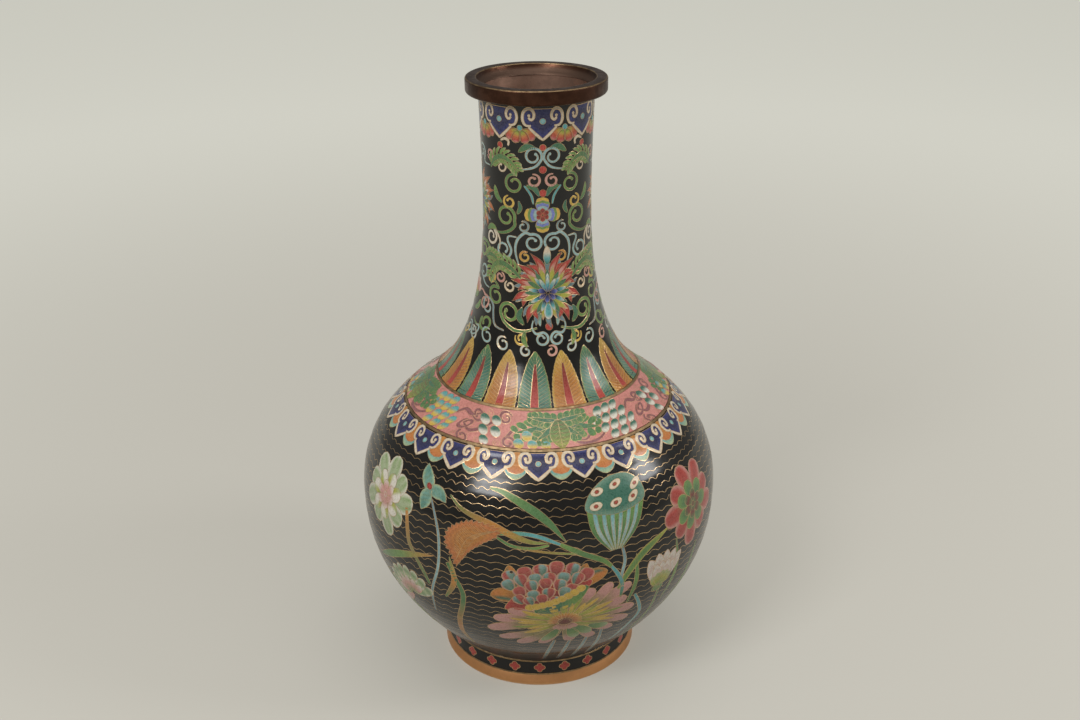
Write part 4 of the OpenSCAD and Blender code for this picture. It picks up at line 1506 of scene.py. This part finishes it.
def pink_flower(band, place):
    """A wide open flower: fingers that run from olive to rose, yellow rays and a brown heart."""
    finger = along("olive", "olive", "olive", "rose", "rose")
    for i, (x, y, half, bend) in enumerate((
        (4.0, 14.0, 3.0, 0.5), (13.4, 20.4, 3.4, 1.0), (22.4, 21.8, 3.6, -1.0), (33.0, 18.2, 3.8, 1.5),
        (31.0, 9.6, 3.8, 0.6), (36.0, 1.0, 3.9, 1.5), (33.4, -8.0, 3.6, 1.0), (25.0, -13.6, 3.5, 0.6),
        (15.4, -19.6, 3.4, 0.6), (-6.0, 12.4, 3.2, -0.6), (-17.0, 12.4, 3.4, -1.0), (-27.6, 8.4, 3.4, -1.2),
        (-34.6, 1.6, 3.9, -1.5), (-37.2, -8.4, 4.0, -2.0), (-31.0, -16.6, 3.7, 1.2), (-21.6, -21.8, 3.6, 1.0),
        (-10.4, -21.6, 3.3, 0.8), (4.0, -20.4, 3.4, 0.0),
    )):
        band.tip(place, (x * 0.1, y * 0.1), (x, y), half * 0.84, finger, 0.4 * (i % 3), bend, 0.8, 0.35)
    ray = along("brown", "yellow_green", "yellow", "yellow")
    leaf = along("leaf_green", "yellow_green", "leaf_green")
    for i, turn in enumerate(np.linspace(-34, 214, 25)):
        c, s = math.cos(math.radians(turn)), math.sin(math.radians(turn))
        reach = 25.0 - 8.0 * abs(s) - 4.5 * (i % 2) + (2.5 if c > 0 and s > 0 else 0)
        band.tip(place, (4.6 * c, 3.4 * s), (reach * c * 1.12, reach * s * 0.86), 0.95 + 0.4 * (i % 3 == 0),
                 leaf if i % 3 == 1 else ray, 2.1 + 0.35 * (i % 2), 0.5 * (-1) ** i, 0.6, 0.6)
    for root, end, half, bend in (((-3, -6), (-10, -18.4), 2.6, 0.6), ((2, -6), (6, -17), 3.0, 0.5),
                                  ((4, -5), (13.6, -14), 3.0, 0.6), ((12, -6), (22.6, -9), 2.8, -1)):
        band.tip(place, root, end, half, along("green", "leaf_green", "pale_green"), 2.9, bend, 0.6, 0.5)
    for turn in (236, 252, 270, 290, 310):
        band.ray(place, turn, 3, 9.4, 1.6, along("brown", "rose", "rose"), 3.3 + 0.3 * (turn % 4 == 0), 0.8, 0.6, 0.4)
    band.petals(place, 17, 2, 8.6, 0.8, along("brown", "orange", "yellow"), 3.8, -10, 200, 0.8, 0.5)
    band.dot(place, (0, 0), 3.6, along("dark_red", "brown"), 4.5, 0.8, 16)


def belly_flowers(left, right, turn):
    """The large flowers of one side of the belly."""
    def place(angle, arc, tilt=0.0, size=1.0):
        return Spot(turn + angle, arc, tilt, False, size)

    striped = hatched(edged(along("green", "leaf_green", "leaf_green"), "white", 0.9), "white", 0.3, 3.4, 0.4)
    fresh = halved(along("leaf_green", "yellow_green", "pale_green"), along("rose", "white", "white"))
    open_lotus(left, place(-56.8, 107.4, -14), striped, fresh, along("rose", "rose", "white"), 20.5)
    fan = place(-46.6, 56, -44)
    pale = hatched(edged(along("leaf_green", "pale_green", "pale_green"), "white", 0.86), "green", 3, 2.0, 0.6)
    left.petals(fan, 9, 3, 19.5, 3.0, pale, 1, -12, 160, 0.95, 0.66, 0.45)
    left.petals(fan, 6, 1.5, 12.5, 2.2, along("leaf_green", "rose", "white"), 2, 4, 128, 0.95, 0.6)
    left.petals(fan, 3, 2, 18, 2.4, along("rose", "rose", "white"), 0.3, 120, 60, 0.95, 0.6)
    red_flower(right, place(3.4, 78))
    pink_flower(right, place(8.3, 57.2))
    bud = place(41.2, 66, 8)
    petal = hatched(edged(along("rose", "white", "white"), "white", 0.8), "rose", 3, 1.4, 0.5)
    right.petals(bud, 5, 1, 20.5, 4.0, petal, 1, 56, 68, 1.0, 0.52, 0.6)
    right.petals(bud, 4, 0.5, 15.0, 3.2, petal, 2, 62, 54, 1.0, 0.52, 0.6)
    right.petals(bud, 5, 0.5, 9.5, 2.6, along("leaf_green", "yellow_green", "pale_green"), 2.8, 42, 96, 0.95, 0.5)
    right.petals(bud, 3, 0.5, 5, 2.2, along("leaf_green", "green"), 2.9, 230, 80, 0.9, 0.5)
    crimson = hatched(edged(along("green", "red", "red"), "rose", 0.9), "dark_red", 0.3, 2.6, 0.35)
    open_lotus(left, place(56.4, 102, 10), crimson, edged(along("green", "green", "leaf_green"), "leaf_green", 0.8),
               along("green", "dark_red", "green"), 21.5)


def make_belly():
    """Flowers, pods and stems on the two broad sides of the belly."""
    stems, pods = Band("belly_stem"), Band("lotus_pod")
    left, right = Band("side_lotus", 0.34), Band("front_flower", 0.34)
    for turn in (0, 180):
        belly_stems(stems, turn)
        lotus_pod(pods, turn)
        belly_flowers(left, right, turn)
    for group in (stems, pods, left, right):
        group.build()


# ---- the add-on ----

def operator(name, label, words, make):
    """An operator class for one piece or group of pieces."""
    def execute(self, context):
        make()
        return {"FINISHED"}

    return type("VASE_OT_" + name, (bpy.types.Operator,), {
        "__doc__": words,
        "bl_idname": "vase." + name,
        "bl_label": label,
        "bl_options": {"REGISTER", "UNDO"},
        "execute": execute,
    })


OPERATORS = [
    operator("finishes", "Finishes", "Makes the enamels and metals", make_materials),
    operator("nodes", "Dress nodes", "Gives the CAD nodes in sight their finishes", dress_nodes),
    operator("coats", "Enamel coats", "Makes the grounds of the neck, grape band and belly", make_coats),
    operator("mouth_rim", "Mouth rim", "Makes the bronze mouth rim", make_mouth_rim),
    operator("foot_rim", "Foot rim", "Makes the copper foot rim", make_foot_rim),
    operator("mouth_border", "Mouth border", "Inlays the border under the mouth", make_mouth_border),
    operator("upright_leaves", "Upright leaves", "Inlays the leaves at the foot of the neck",
             make_upright_leaves),
    operator("grape_band", "Grape band", "Inlays the vines of the pink band", make_grape_band),
    operator("lappets", "Lappets", "Inlays the lappets round the shoulder", make_lappets),
    operator("neck", "Neck", "Inlays the flowers and scrolls of the neck", make_neck),
    operator("belly", "Belly", "Inlays the flowers, pods and stems of the belly", make_belly),
    operator("waves", "Waves", "Lays the wave wires on the belly", make_waves),
    operator("stage", "Stage", "Makes the floor, lamps and camera", make_stage),
]


class VASE_PT_panel(bpy.types.Panel):
    """The vase's operators and settings."""

    bl_idname = "VASE_PT_panel"
    bl_label = "Cloisonne vase"
    bl_space_type = "VIEW_3D"
    bl_region_type = "UI"
    bl_category = "Vase"

    def draw(self, context):
        for kind in OPERATORS:
            self.layout.operator(kind.bl_idname)
        for group in (tones(), sizes()):
            box = self.layout.box()
            for name in group.__annotations__:
                box.prop(group, name)


CLASSES = [VaseTones, VaseSizes, *OPERATORS, VASE_PT_panel]


def register():
    for kind in CLASSES:
        bpy.utils.register_class(kind)
    bpy.types.Scene.vase_tones = PointerProperty(type=VaseTones)
    bpy.types.Scene.vase_sizes = PointerProperty(type=VaseSizes)


def unregister():
    del bpy.types.Scene.vase_sizes
    del bpy.types.Scene.vase_tones
    for kind in reversed(CLASSES):
        bpy.utils.unregister_class(kind)


def main():
    register()
    for kind in OPERATORS:
        getattr(bpy.ops.vase, kind.bl_idname.split(".")[1])()


if __name__ == "__main__":
    main()
